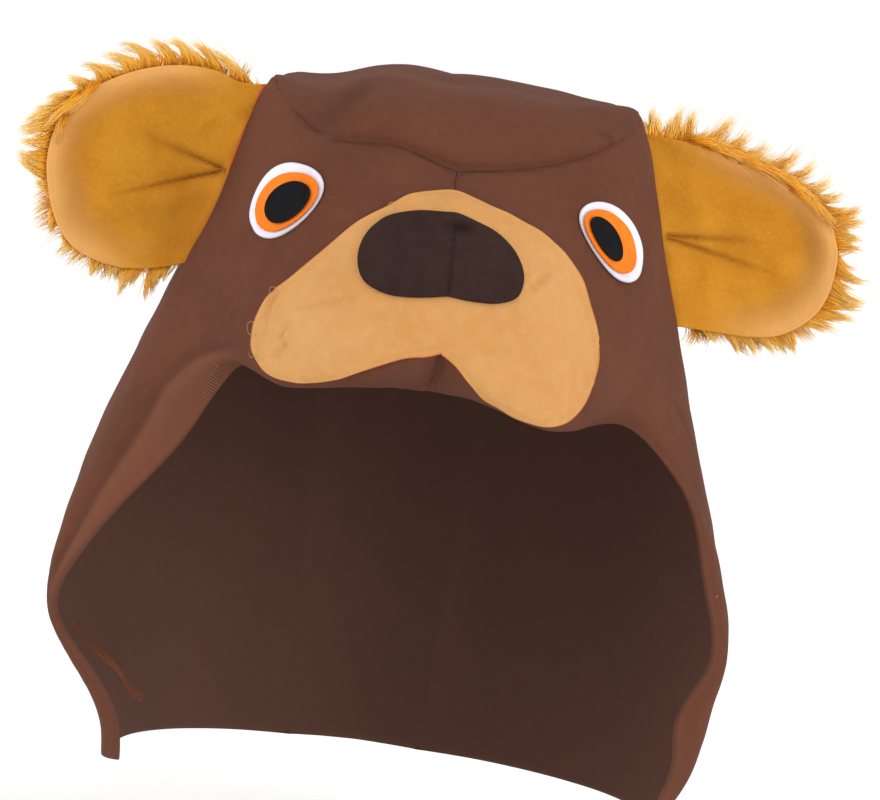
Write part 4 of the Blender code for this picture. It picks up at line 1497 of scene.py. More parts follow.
@dataclass
class Patch:
    """A cloth shape laid flat on the side panels, with a softly rounded cut edge."""

    form: HoodForm
    name: str
    slot: str
    finish: str
    outline: Array
    middle: Pair
    lift: float
    flat: Pair
    flat_area: float
    rests_on: Tuple[str, ...]
    wall: float = 0.0010
    rings: int = 44
    edge_tint: float = 0.85
    near: Tuple[float, ...] = (0.0, 0.00012, 0.0003, 0.0006, 0.0011, 0.0018, 0.0028, 0.0042)

    def swell(self, points: Array, places: Array, from_edge: Array) -> Array:
        """How far the cloth stands out of its plain form.

        Args:
            points: The plain form's points.
            places: Places of the points on the sheet (not used here).
            from_edge: Distance of each point from the sheet's edge.

        Returns:
            Distance outward of each point, in metres.
        """
        uneven = unevenness(points, 0.012, 41)
        height = 0.00012 * unevenness(points, 0.030, 42)
        height += 0.00022 * (0.6 + uneven) * ease(from_edge, 0.0030, 0.0)
        return height - 0.00018 * (0.8 + 0.5 * uneven) * hump(from_edge - 0.0036, 0.0011)

    def tint(self, places: Array, from_edge: Array) -> Array:
        """How strongly the cut edge's own colour shows."""
        return self.edge_tint * ease(from_edge, 0.0009, 0.0001)

    def darkness(self, points: Array, places: Array, from_edge: Array) -> Array:
        """How dark each place is for lying in a crease, from 0 to 1."""
        return np.zeros(from_edge.shape)

    def build(self, wardrobe: Wardrobe) -> bpy.types.Object:
        """Make the patch.

        Args:
            wardrobe: The finishes.

        Returns:
            The patch's cloth piece.
        """
        disc = Disc(self.rings)
        rim = closed_curve(self.outline, disc.turn)
        middle = np.array(self.middle)
        middle_point = self.form.on_panels(middle[None], np.zeros(1))[0]
        rim_points = self.form.on_panels(rim, np.zeros(rim.shape[:2]))
        reach = np.linalg.norm(rim_points - middle_point, axis=-1)
        share = disc.shares(reach, self.near)
        places = middle + (rim - middle) * share[..., None]
        base = self.form.on_panels(places, np.full(share.shape, self.lift))
        top = self.form.on_panels(places, np.full(share.shape, self.lift + self.wall))
        normal = unit(top - base)
        from_edge = (1.0 - share) * reach
        round_off = edge_round(from_edge, self.wall)[..., None] * normal
        raised = normal * self.swell(base, places, from_edge)[..., None]
        outer = top + raised - round_off
        inner = base + round_off * 0.9
        piece = Cloth.wall(f"{self.name}_cloth", outer, inner)
        Cloth.note_grid(piece, "edge", self.tint(places, from_edge))
        Cloth.note_grid(piece, "crease", self.darkness(base, places, from_edge))
        wardrobe.dress(piece, self.finish)
        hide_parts(self.name)
        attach(piece, "root")
        return piece


class Muzzle(Patch):
    """The tan muzzle, with soft creases beside the nose and in the jowls."""

    SCALE = (0.215, 0.190)
    CREASES = (((-0.25, 0.335), (-0.165, 0.365), 0.0007, 0.0018),
               ((0.143, 0.443), (0.168, 0.485), 0.0011, 0.0014),
               ((-0.265, 0.300), (-0.280, 0.275), 0.0009, 0.0008),
               ((-0.280, 0.275), (-0.275, 0.255), 0.0009, 0.0008),
               ((-0.275, 0.255), (-0.297, 0.225), 0.0009, 0.0008),
               ((-0.315, 0.273), (-0.292, 0.367), 0.0010, 0.0010),
               ((0.223, 0.530), (0.262, 0.470), 0.0006, 0.0010),
               ((0.262, 0.470), (0.284, 0.350), 0.0008, 0.0010),
               ((0.284, 0.350), (0.286, 0.270), 0.0007, 0.0010))

    def folds(self, places: Array) -> Tuple[Array, Array]:
        """Height and darkness of the patch's creases.

        Args:
            places: Places on the panels.

        Returns:
            Height in metres, and darkness from 0 to 1.
        """
        height, dark = np.zeros(places.shape[:-1]), np.zeros(places.shape[:-1])
        scale = np.array(self.SCALE)
        for start, end, depth, width in self.CREASES:
            travel, aside = beside_line(places * scale, np.array(start) * scale,
                                        np.array(end) * scale)
            bow = 0.7 + 0.3 * np.sin(travel * math.pi)
            height -= depth * bow * hump(aside, width)
            height += 0.5 * depth * bow * hump(aside - 2.2 * width, width)
            dark = np.maximum(dark, 320.0 * depth * bow * hump(aside, 0.75 * width))
        return height, np.minimum(dark, 1.0)

    def swell(self, points: Array, places: Array, from_edge: Array) -> Array:
        """The patch's swell, with the creases of the cloth under strain.

        Args:
            points: The plain form's points.
            places: Places of the points on the sheet.
            from_edge: Distance of each point from the sheet's edge.

        Returns:
            Distance outward of each point, in metres.
        """
        height = super().swell(points, places, from_edge)
        inside = ease(from_edge, 0.0015, 0.010)
        height += 0.0004 * unevenness(points, 0.035, 51) * inside
        return height + self.folds(places)[0]

    def tint(self, places: Array, from_edge: Array) -> Array:
        """The red cut edge shows most along the jowls."""
        low = 0.35 + 0.65 * ease(places[..., 1], 0.62, 0.42)
        return self.edge_tint * low * ease(from_edge, 0.0010, 0.0002)

    def darkness(self, points: Array, places: Array, from_edge: Array) -> Array:
        """Shade in the creases, and in the dip beside the sewn edge."""
        sewn = 0.16 * hump(from_edge - 0.0036, 0.0008) * (0.8 + 0.4 * unevenness(points, 0.01, 41))
        return np.clip(self.folds(places)[1] * 0.55 + sewn, 0.0, 1.0)


class Nose(Patch):
    """The dark nose, creased down its middle over the seam, with a dimple at the top."""

    def crease(self, points: Array, places: Array, from_edge: Array, width: float) -> Array:
        """How deep in the middle crease each place lies."""
        span = ease(places[..., 1], 0.575, 0.54) * ease(from_edge, 0.0, 0.003)
        return hump(np.abs(points[..., 0] - 0.0002), width) * span

    def dimple(self, places: Array) -> Array:
        """How deep in the dimple each place lies."""
        gap = ((places[..., 0] - 0.012) * 0.19 / 0.0035) ** 2
        return np.exp(-gap - ((places[..., 1] - 0.548) * 0.19 / 0.0030) ** 2)

    def swell(self, points: Array, places: Array, from_edge: Array) -> Array:
        """The patch's swell, with the crease and the dimple.

        Args:
            points: The plain form's points.
            places: Places of the points on the sheet.
            from_edge: Distance of each point from the sheet's edge.

        Returns:
            Distance outward of each point, in metres.
        """
        height = super().swell(points, places, from_edge)
        height -= 0.0009 * self.crease(points, places, from_edge, 0.0006)
        height -= 0.0005 * self.crease(points, places, from_edge, 0.0030)
        height -= 0.0016 * self.dimple(places)
        return height + 0.0003 * unevenness(points, 0.020, 61) * ease(from_edge, 0.001, 0.008)

    def darkness(self, points: Array, places: Array, from_edge: Array) -> Array:
        """Shade in the crease and the dimple."""
        line = self.crease(points, places, from_edge, 0.0005)
        return np.clip(0.8 * line + 0.9 * self.dimple(places), 0.0, 1.0)


@dataclass
class Face:
    """Muzzle, nose and eyes: each patch a small gap over what is under it."""

    form: HoodForm
    gap: float = 0.0005
    wall: float = 0.0010
    muzzle_top: float = 0.787
    muzzle_notch: float = 0.205
    nose_top: float = 0.592
    nose_bottom: float = 0.370
    eyes: Tuple[Tuple[Side, Tuple[Oval, ...]], ...] = (
        (Side.LEFT, (Oval(0.307, 0.619, 0.066, 0.126, 0.036),
                     Oval(0.296, 0.615, 0.052, 0.099, 0.028),
                     Oval(0.280, 0.616, 0.0285, 0.069, 0.019))),
        (Side.RIGHT, (Oval(0.320, 0.615, 0.074, 0.128, 0.025),
                      Oval(0.311, 0.606, 0.060, 0.101, 0.023),
                      Oval(0.301, 0.600, 0.0415, 0.071, 0.015))))
    layers: Tuple[Tuple[str, str, str], ...] = (("white", "eye_white", "eye_white_felt"),
                                                ("iris", "eye_orange", "eye_orange_felt"),
                                                ("pupil", "eye_black", "eye_black_felt"))
    eye_area: float = 0.1210

    @staticmethod
    def outline(marks: Sequence[Mark], top: float, bottom: float) -> Array:
        """Signed outline from the top down the wearer's left, then back up the right."""
        left = [(mark.left_along, mark.left_across) for mark in marks]
        right = [(-mark.right_along, mark.right_across) for mark in reversed(marks)]
        return np.array([(0.0, top)] + left + [(0.0, bottom)] + right)

    def patches(self) -> List[Patch]:
        """The patches, from the muzzle to the pupils.

        Returns:
            The patches, in the order in which they are laid.
        """
        lifts = [self.gap + k * (self.wall + self.gap) for k in range(3)]
        muzzle = Muzzle(self.form, "muzzle_patch", "tan_fleece", "tan_fleece_nap",
                        self.outline(MUZZLE_MARKS, self.muzzle_top, self.muzzle_notch),
                        (0.0, 0.400), lifts[0], (0.165, 0.125), 0.0113,
                        ("side_panel_left", "side_panel_right"), rings=60)
        nose = Nose(self.form, "nose_patch", "nose_fleece", "nose_fleece_nap",
                    self.outline(NOSE_MARKS, self.nose_top, self.nose_bottom),
                    (-0.012, 0.480), lifts[1], (0.072, 0.045), 0.0024, ("muzzle_patch",),
                    rings=40, edge_tint=0.4)
        made: List[Patch] = [muzzle, nose]
        for side, ovals in self.eyes:
            under = f"side_panel_{side.word}"
            for oval, (name, slot, finish), lift in zip(ovals, self.layers, lifts):
                turn = np.linspace(0.0, 2.0 * math.pi, 24, endpoint=False)
                out = np.cos(turn) * oval.half_along - np.sin(turn) * oval.lean
                outline = np.stack((oval.along + out,
                                    oval.across + np.sin(turn) * oval.half_across), axis=-1)
                outline[:, 0] *= side.value
                area = self.eye_area * oval.half_along * oval.half_across
                span = math.sqrt(area / 0.76)
                node = f"eye_{name}_{side.word}"
                made.append(Patch(self.form, node, slot, finish, outline,
                                  (side.value * oval.along, oval.across), lift,
                                  (span * 1.12, span / 1.12), area, (under,),
                                  rings=20, edge_tint=0.6,
                                  near=(0.0, 0.00012, 0.0003, 0.0006, 0.0011)))
                under = node
        return made

    def build(self, wardrobe: Wardrobe) -> List[bpy.types.Object]:
        """Make all the patches."""
        return [patch.build(wardrobe) for patch in self.patches()]


@dataclass
class Strands:
    """Strands over an ear's face, gathered bundle by bundle."""

    paths: List[Array] = field(default_factory=list)
    depths: List[Array] = field(default_factory=list)
    radii: List[Array] = field(default_factory=list)
    tones: List[Array] = field(default_factory=list)

    def add(self, paths: Array, depths: Array, radii: Array, tones: Array) -> None:
        """Add one bundle.

        Args:
            paths: Paths over the ear's face, shape (strands, 5, 2).
            depths: Depth behind the plain face along each path.
            radii: Each strand's radius at its root.
            tones: Each strand's tone, 0 to 1.
        """
        self.paths.append(paths)
        self.depths.append(depths)
        self.radii.append(radii)
        self.tones.append(tones)


@dataclass
class Ear:
    """One rounded ear: a velour front, a padded backing, a fringe and long pile."""

    COPIES = ((60, 1.00, 0.0), (34, 0.82, 1.0), (24, 0.66, -1.0))

    form: HoodForm
    side: Side
    length: float = 0.078
    height: float = 0.084
    wall: float = 0.0020
    drop: float = 0.0515
    back: float = -0.015
    sweep: float = 0.006
    cup: float = 0.006
    clearance: float = -0.0009
    base_top: float = 0.01
    base_bottom: float = -0.94
    middle: Pair = (0.45, -0.47)
    backing: float = 0.0052
    rings: int = 46
    backing_rings: int = 28
    seed: int = 7
    back_lock_count: int = 150
    back_lock_strands: int = 34
    laid_lock_strands: int = 54
    short_strands: int = 800
    lock_spread: float = 0.0026
    root_out: float = 0.0010
    strand_out: float = 0.0008
    flat: Pair = (0.090, 0.088)
    flat_area: float = 0.0059

    @property
    def marks(self) -> Tuple[Pair, ...]:
        """The ear's cut outline."""
        return LEFT_EAR_MARKS if self.side is Side.LEFT else RIGHT_EAR_MARKS

    @property
    def locks(self) -> Tuple[Lock, ...]:
        """The fringe's locks."""
        return LEFT_LOCKS if self.side is Side.LEFT else RIGHT_LOCKS

    @property
    def laid_locks(self) -> Tuple[Lock, ...]:
        """Locks that lie along the edge, over the face."""
        return LEFT_LAID_LOCKS if self.side is Side.LEFT else RIGHT_LAID_LOCKS

    @property
    def pleats(self) -> Tuple[Tuple[Pair, Pair], ...]:
        """Start and end of the two creases that meet at the base."""
        if self.side is Side.LEFT:
            return (((0.04, -0.495), (0.56, -0.47)), ((0.04, -0.505), (0.64, -0.63)))
        return (((0.03, -0.450), (0.52, -0.33)), ((0.03, -0.460), (0.58, -0.67)))

    @property
    def scale(self) -> Array:
        """Length and height of the ear."""
        return np.array((self.length, self.height))

    def outline(self) -> Array:
        """The ear's closed outline, from the top of its base round its tip and back.

        Returns:
            Points as shares of the ear's length and height.
        """
        rows = [(0.0, self.base_top), *self.marks, (0.0, self.base_bottom)]
        curve = np.array(rows) * self.scale
        runs = lengths_along(curve, 0)
        free = cubic(curve, runs, np.linspace(0.0, runs[-1], FREE_EDGE_POINTS))
        base = np.linspace(self.base_bottom, self.base_top, 34)[1:-1, None] * (0.0, 1.0)
        return np.concatenate((free / self.scale, base))

    def at(self, places: Array, depth: Array) -> Array:
        """Points on the ear.

        Args:
            places: Out and up, as shares of the ear's length and height.
            depth: Distance behind the plain front face, in metres.

        Returns:
            Points in the hood's frame.
        """
        out, up = places[..., 0], places[..., 1]
        height = -self.drop + (up - self.middle[1]) * self.height
        spread = ((out - self.middle[0]) ** 2 + (up - self.middle[1]) ** 2) / 0.25
        back = self.back + self.sweep * out - self.cup * (np.minimum(spread, 1.8) - 0.5) + depth
        base = self.form.reach(float(self.side.value), back, height) + self.clearance
        far = base + np.maximum(out, 0.0) * self.length
        return np.stack((self.side.value * far, back, height), axis=-1)

    def creases(self, places: Array, width: float) -> Array:
        """How deep in a pleat each place lies, from 0 to 1, fading towards the pleat's end.

        Args:
            places: Out and up shares of the ear.
            width: Half width of the pleat at its base.

        Returns:
            One value for each place.
        """
        depth = np.zeros(places.shape[:-1])
        for start, end in self.pleats:
            travel, aside = beside_line(places * self.scale, np.array(start) * self.scale,
                                        np.array(end) * self.scale)
            depth = np.maximum(depth, hump(aside, width * (1.0 + travel)) * (1.0 - travel) ** 0.7)
        return depth

    def relief(self, places: Array, share: Array) -> Tuple[Array, Array]:
        """Depth of the front's hollow, rolled rim, pleats and base tuck, and its shading.

        Args:
            places: Out and up shares of the ear.
            share: Share of the way from the ear's middle to its outline.

        Returns:
            Depth in metres, and the painted shade in the pleats, the hollow, the tucks and along
            the base, from 0 to 1.
        """
        metres = (places - np.array((0.0, self.middle[1]))) * self.scale
        points = np.concatenate((metres, np.zeros(metres.shape[:-1] + (1,))), axis=-1)
        outer_half = ease(places[..., 0], 0.05, 0.45)
        hollow = hump(share - 0.68, 0.15) * outer_half
        depth = 0.0022 * hollow - 0.0005 * hump(share - 0.88, 0.12) * outer_half
        depth += 0.0005 * unevenness(points, 0.020, 71 + self.side.value) * ease(share, 1.0, 0.9)
        deep, broad = self.creases(places, 0.0006), self.creases(places, 0.0030)
        depth += 0.0020 * deep + 0.0016 * broad
        # Painted shade in the pleats and the hollow.
        dark = 0.75 * deep + 0.14 * broad + 0.10 * hollow
        tucks = ((0.11, -0.76, 0.0032, 0.0105, 0.45),) if self.side is Side.RIGHT else (
            (0.06, -0.16, 0.0012, 0.009, 0.15),)
        for out, up, amount, reach, shade in tucks:
            gap = np.linalg.norm((places - (out, up)) * self.scale * (1.0, 0.55), axis=-1)
            depth += amount * hump(gap, reach)
            dark += shade * hump(gap, reach)
        # Painted shade along the base, where the ear meets the hood.
        base_gap = places[..., 0] * self.length
        return depth, np.clip(dark + 0.45 * hump(base_gap, 0.0022), 0.0, 1.0)

    def disc(self, rings: int, near: Sequence[float]) -> Tuple[Array, Array, Array]:
        """A wound grid over the ear's outline.

        Args:
            rings: Rings from the middle to the outline.
            near: Distances from the outline of the outermost rings, rising.

        Returns:
            Places as shares of the ear, the share of the way to the outline, and the distance
            from it in metres.
        """
        disc = Disc(rings)
        rim = closed_curve(self.outline(), disc.turn)
        middle = np.array(self.middle)
        reach = np.linalg.norm((rim - middle) * self.scale, axis=-1)
        share = disc.shares(reach, near)
        return middle + (rim - middle) * share[..., None], share, (1.0 - share) * reach

    def build_front(self, wardrobe: Wardrobe) -> bpy.types.Object:
        """Make the velour front.

        Args:
            wardrobe: The finishes.

        Returns:
            The cloth piece, in place of its frame node.
        """
        places, share, from_edge = self.disc(
            self.rings, (0.0, 0.0002, 0.0005, 0.0009, 0.0015, 0.0023, 0.0034))
        depth, dark = self.relief(places, share)
        near_edge = ease(from_edge, 0.0, 0.0040)
        round_off = edge_round(from_edge, self.wall)
        outer = self.at(places, depth * near_edge + round_off)
        inner = self.at(places, np.maximum(depth * near_edge, 0.0) + self.wall - round_off * 0.9)
        piece = Cloth.wall(f"ear_front_{self.side.word}_cloth", outer, inner)
        free = ease(places[..., 0], 0.12, 0.60)
        # Painted highlight along the rolled rim of the free edge, and painted shade from the
        # relief.
        Cloth.note_grid(piece, "edge", 0.60 * free * ease(from_edge, 0.0180, 0.0010))
        Cloth.note_grid(piece, "crease", dark)
        wardrobe.dress(piece, "gold_velour_nap")
        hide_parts(f"ear_front_{self.side.word}")
        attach(piece, "root")
        f"ear_fur_{self.side.word}"
        return piece

    def rear_depth(self, share: Array) -> Array:
        """Depth of the backing's rear face at a share of the way to the rim."""
        dome = np.sqrt(np.clip(1.0 - np.clip(share, 0.0, 1.0) ** 2.2, 0.0, 1.0))
        return self.wall + 0.0034 + (self.backing - 0.0015) * dome

    def build_backing(self, wardrobe: Wardrobe) -> bpy.types.Object:
        """Make the padded backing that carries the pile.

        Args:
            wardrobe: The finishes.

        Returns:
            The padded piece.
        """
        places, share, from_edge = self.disc(self.backing_rings,
                                             (0.0004, 0.0008, 0.0014, 0.0022, 0.0034))
        depth, _ = self.relief(places, share)
        front = self.wall + 0.0003 + np.maximum(depth, 0.0) * ease(from_edge, 0.0, 0.004)
        front = front + edge_round(from_edge, 0.0012)
        rear = np.maximum(self.rear_depth(share) - 0.0019 * ease(share, 0.94, 1.0),
                          front + 0.0006)
        piece = Cloth.wall(f"ear_backing_{self.side.word}", self.at(places, rear),
                           self.at(places, front))
        Cloth.note(piece, "share", np.full(len(piece.data.vertices), 0.16))
        Cloth.note(piece, "tone", np.full(len(piece.data.vertices), 0.5))
        wardrobe.dress(piece, "gold_pile")
        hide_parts(f"ear_fur_{self.side.word}")
        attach(piece, "root")
        return piece

    @staticmethod
    def bundle(draw: np.random.Generator, roots: Array, root: Array, tip: Array, bend: float,
               gather: float, stray: float) -> Array:
        """Strands that leave their own roots and close up towards a lock's tip.

        Args:
            draw: Source of chance.
            roots: Root of each strand over the ear's face, in metres, shape (strands, 2).
            root: The lock's own root.
            tip: The lock's tip.
            bend: How far the lock bows aside, as a share of its length.
            gather: How closely the strands close up at the tip, 0 to 1.
            stray: How far single strands swing out of the lock.

        Returns:
            Paths over the ear's face, shape (strands, 5, 2).
        """
        count = len(roots)
        run = tip - root
        aside = np.array((-run[1], run[0]))
        own = draw.uniform(0.55, 1.08, count) ** 0.8
        swing = draw.normal(size=count) * stray
        swing = swing * np.where(draw.uniform(size=count) < 0.12, 3.0, 1.0)
        curl = draw.normal(size=count) * 0.06
        paths = np.empty((count, 5, 2))
        for k, part in enumerate(STRAND_PARTS):
            ahead = own * part
            bow = bend * 4.0 * ahead * (1.0 - ahead) * 0.5 + swing * ahead + curl * ahead**2
            spread = (roots - root) * (1.0 - gather * part**0.75)
            paths[:, k] = root + run * ahead[:, None] + aside * bow[:, None] + spread
        return paths

    def free_edge(self) -> Array:
        """Points round the free edge, in metres over the ear's face."""
        return self.outline()[:FREE_EDGE_POINTS] * self.scale

    def edge_locks(self, draw: np.random.Generator, edge: Array, heading: Array) -> Strands:
        """Locks that stand out round the free edge, each with two shorter ones beside it.

        Args:
            draw: Source of chance.
            edge: Points round the free edge.
            heading: The edge's direction at each of them.

        Returns:
            The locks' strands.
        """
        strands = Strands()
        for lock in self.locks:
            root = np.array((lock.root_out, lock.root_up)) * self.scale
            tip = np.array((lock.tip_out, lock.tip_up)) * self.scale
            nearest = int(np.argmin(np.linalg.norm(edge - root, axis=1)))
            outward = np.array((-heading[nearest, 1], heading[nearest, 0]))
            length = np.linalg.norm(tip - root)
            for count, size, slide in self.COPIES:
                base = root + heading[nearest] * slide * draw.uniform(0.0012, 0.0026)
                lean = heading[nearest] * draw.normal() * 0.0010
                end = base + (tip - root) * size + lean * (slide != 0.0)
                along = draw.normal(size=(count, 1)) * self.lock_spread
                inside = -draw.uniform(0.0010, 0.0048, (count, 1))
                roots = base + heading[nearest] * along + outward * inside
                roots[:, 0] = np.maximum(roots[:, 0], self.root_out)
                paths = self.bundle(draw, roots, base, end, lock.bend, 0.95, 0.025)
                start = self.wall + 0.0004 + draw.uniform(0.0, 1.0, count) * 0.0024
                rise = draw.uniform(-0.10, 0.16) * length + draw.normal(size=count) * 0.0006
                radii = draw.uniform(0.00014, 0.00025, count)
                tone = draw.uniform(0.0, 0.75)
                strands.add(paths, start[:, None] + rise[:, None] * STRAND_PARTS, radii,
                            np.clip(tone + draw.normal(size=count) * 0.15, 0.0, 1.0))
        return strands

    def laid_strands(self, draw: np.random.Generator) -> Strands:
        """Strands of the locks that lie along the edge, over the face.

        Args:
            draw: Source of chance.

        Returns:
            The locks' strands.
        """
        strands, count = Strands(), self.laid_lock_strands
        for lock in self.laid_locks:
            root = np.array((lock.root_out, lock.root_up)) * self.scale
            tip = np.array((lock.tip_out, lock.tip_up)) * self.scale
            roots = root + draw.normal(size=(count, 2)) * 0.0012
            paths = self.bundle(draw, roots, root, tip, lock.bend, 0.90, 0.05)
            rise = -0.0004 - 0.0022 * np.sin(STRAND_PARTS * math.pi)
            depths = draw.uniform(-0.0006, 0.0004, (count, 1)) + rise
            radii = draw.uniform(0.00012, 0.00020, count)
            strands.add(paths, depths, radii, draw.uniform(0.55, 1.0, count))
        return strands

    def short_pile(self, draw: np.random.Generator, edge: Array, heading: Array) -> Strands:
        """Short strands between the locks, that follow the locks beside them.

        Args:
            draw: Source of chance.
            edge: Points round the free edge.
            heading: The edge's direction at each of them.

        Returns:
            The strands.
        """
        runs = lengths_along(edge, 0)
        roots = np.array([(lock.root_out, lock.root_up) for lock in self.locks]) * self.scale
        tips = np.array([(lock.tip_out, lock.tip_up) for lock in self.locks]) * self.scale
        nearest = np.argmin(np.linalg.norm(edge[None] - roots[:, None], axis=-1), axis=1)
        order = np.argsort(runs[nearest])
        spots, ways = runs[nearest][order], (tips - roots)[order]
        reaches = np.linalg.norm(ways, axis=1)
        turns = ways / reaches[:, None]
        strands, count = Strands(), self.short_strands
        where = draw.uniform(0.01, 0.99, count) * runs[-1]

        def at_where(stations: Array, values: Array) -> Array:
            """Read a table of pairs at the strands' places."""
            return np.stack([np.interp(where, stations, values[:, k]) for k in range(2)], axis=-1)

        root, along = at_where(runs, edge), unit(at_where(runs, heading))
        outward = np.stack((-along[:, 1], along[:, 0]), axis=-1)
        turn = at_where(spots, turns)
        turn = unit(unit(turn) + 0.35 * outward + draw.normal(size=(count, 2)) * 0.16)
        length = np.interp(where, spots, reaches) * draw.uniform(0.15, 0.40, count)
        roots = root - outward * draw.uniform(0.0010, 0.0042, (count, 1))
        roots[:, 0] = np.maximum(roots[:, 0], self.root_out)
        curl = np.stack((-turn[:, 1], turn[:, 0]), axis=-1) * draw.normal(size=(count, 1)) * 0.12
        reach = length[:, None, None] * STRAND_PARTS[None, :, None]
        paths = (roots[:, None] + turn[:, None] * reach + curl[:, None] * length[:, None, None]
                 * STRAND_PARTS[None, :, None] ** 2)
        start = self.wall + 0.0004 + draw.uniform(0.0, 1.0, count) * 0.0028
        rise = (draw.normal(size=count) * 0.12 * length)[:, None] * STRAND_PARTS
        radii = draw.uniform(0.00009, 0.00015, count)
        strands.add(paths, start[:, None] + rise, radii, draw.uniform(0.2, 0.9, count))
        return strands

    def build_fringe(self, wardrobe: Wardrobe) -> bpy.types.Object:
        """Make the locks round the free edge and the short pile between them.

        Args:
            wardrobe: The finishes.

        Returns:
            The fringe as one piece.
        """
        draw = np.random.default_rng(self.seed + self.side.value)
        edge = self.free_edge()
        heading = unit(np.gradient(edge, axis=0))
        layers = (self.edge_locks(draw, edge, heading), self.laid_strands(draw),
                  self.short_pile(draw, edge, heading))
        return self.pile_piece(f"ear_fringe_{self.side.word}", layers, wardrobe)

    def build_pile(self, wardrobe: Wardrobe) -> bpy.types.Object:
        """Make the long pile in locks laid over the back of the ear.

        Args:
            wardrobe: The finishes.

        Returns:
            The pile as one piece.
        """
        draw = np.random.default_rng(self.seed + 40 + self.side.value)
        edge = self.free_edge()
        centre = np.array(self.middle) * self.scale
        strands, count = Strands(), self.back_lock_strands
        for _ in range(self.back_lock_count):
            rim = edge[int(draw.integers(2, FREE_EDGE_POINTS - 2))]
            share = math.sqrt(draw.uniform(0.0, 0.93))
            root = centre + (rim - centre) * share
            turn = unit(unit(rim - centre) * 0.8 + np.array((0.45, -0.30))
                        + draw.normal(size=2) * 0.30)
            long = draw.uniform(0.012, 0.018) * (1.0 - 0.45 * share**3)
            roots = root + draw.normal(size=(count, 2)) * 0.0027
            size = np.linalg.norm(roots - centre, axis=1, keepdims=True)
            limit = float(np.linalg.norm(rim - centre)) * 0.975
            roots = centre + (roots - centre) * np.minimum(1.0, limit / np.maximum(size, 1e-9))
            roots[:, 0] = np.maximum(roots[:, 0], self.root_out)
            paths = self.bundle(draw, roots, root, root + turn * long,
                                draw.normal() * 0.22, draw.uniform(0.45, 0.8), 0.06)
            own_share = np.linalg.norm(roots - centre, axis=1) / np.linalg.norm(rim - centre)
            lift = draw.uniform(0.14, 0.26) * long
            depth = self.rear_depth(own_share)[:, None] - 0.0004 + lift * np.sin(
                STRAND_PARTS * math.pi * 0.72)
            end_share = np.linalg.norm(root + turn * long - centre) / np.linalg.norm(rim - centre)
            sink = self.rear_depth(np.array([min(end_share, 1.0)]))[0] - self.rear_depth(
                np.array([share]))[0]
            radii = draw.uniform(0.00012, 0.00020, count)
            tone = draw.uniform(0.0, 0.7)
            strands.add(paths, depth + sink * STRAND_PARTS**1.3, radii,
                        np.clip(tone + draw.normal(size=count) * 0.16, 0.0, 1.0))
        return self.pile_piece(f"ear_pile_{self.side.word}", (strands,), wardrobe)

    def pile_piece(self, name: str, layers: Sequence[Strands], wardrobe: Wardrobe
                   ) -> bpy.types.Object:
        """Turn strands over the ear's face into one dressed piece.

        Args:
            name: The piece's name.
            layers: The strands, layer by layer.
            wardrobe: The finishes.

        Returns:
            The piece, in place of the ear's fur node.
        """
        paths, depths, radii, tones = (
            np.concatenate([part for layer in layers for part in getattr(layer, key)])
            for key in ("paths", "depths", "radii", "tones"))
        paths[..., 0] = np.maximum(paths[..., 0], self.strand_out)
        world = self.at(paths / self.scale, depths)
        piece = Cloth.strands(name, world, radii[:, None] * STRAND_TAPER, tones)
        wardrobe.dress(piece, "gold_pile")
        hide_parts(f"ear_fur_{self.side.word}")
        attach(piece, "root")
        return piece

    def build(self, wardrobe: Wardrobe) -> List[bpy.types.Object]:
        """Make the whole ear."""
        return [self.build_front(wardrobe), self.build_backing(wardrobe),
                self.build_fringe(wardrobe), self.build_pile(wardrobe)]


@dataclass
class Ladder:
    """A ladder of overlocked stitches on a side panel's outer or inner face."""

    form: HoodForm
    name: str
    side: Side
    route: Tuple[Pair, ...]
    rung: float
    pitch: float
    depth: float
    finish: str
    radius: float = 0.00015

    def build(self, wardrobe: Wardrobe) -> bpy.types.Object:
        """Lay a rung across the route at each stitch.

        Args:
            wardrobe: The finishes.

        Returns:
            The ladder as one piece.
        """
        places = cubic(np.array(self.route), np.arange(float(len(self.route))),
                       np.linspace(0.0, len(self.route) - 1.0, 200))
        sign = float(self.side.value)
        points = self.form.panel(sign, places[:, 0], places[:, 1])
        outward = self.form.panel_normal(sign, places[:, 0], places[:, 1])
        face = outward if self.depth <= 0.0 else -outward
        points = points - outward * self.depth
        run = lengths_along(points, 0)
        starts = np.arange(self.pitch, run[-1] - self.pitch, self.pitch)
        middle, up = cubic(points, run, starts), unit(cubic(face, run, starts))
        ahead = unit(cubic(points, run, starts + 0.0003) - middle)
        aside = np.cross(up, ahead)
        part = np.array((-0.56, -0.44, 0.0, 0.44, 0.56))
        lift = np.array((-0.0003, 0.00018, 0.00030, 0.00018, -0.0003))
        slant = ahead[:, None] * part[None, :, None] * self.pitch * 0.5
        rungs = middle[:, None] + aside[:, None] * part[None, :, None] * self.rung + slant
        rungs = rungs + up[:, None] * lift[None, :, None]
        piece = Cloth.strands(self.name, rungs, np.full(rungs.shape[:2], self.radius),
                              np.full(len(rungs), 0.5), sides=5)
        wardrobe.dress(piece, self.finish)
        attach(piece, "root")
        return piece


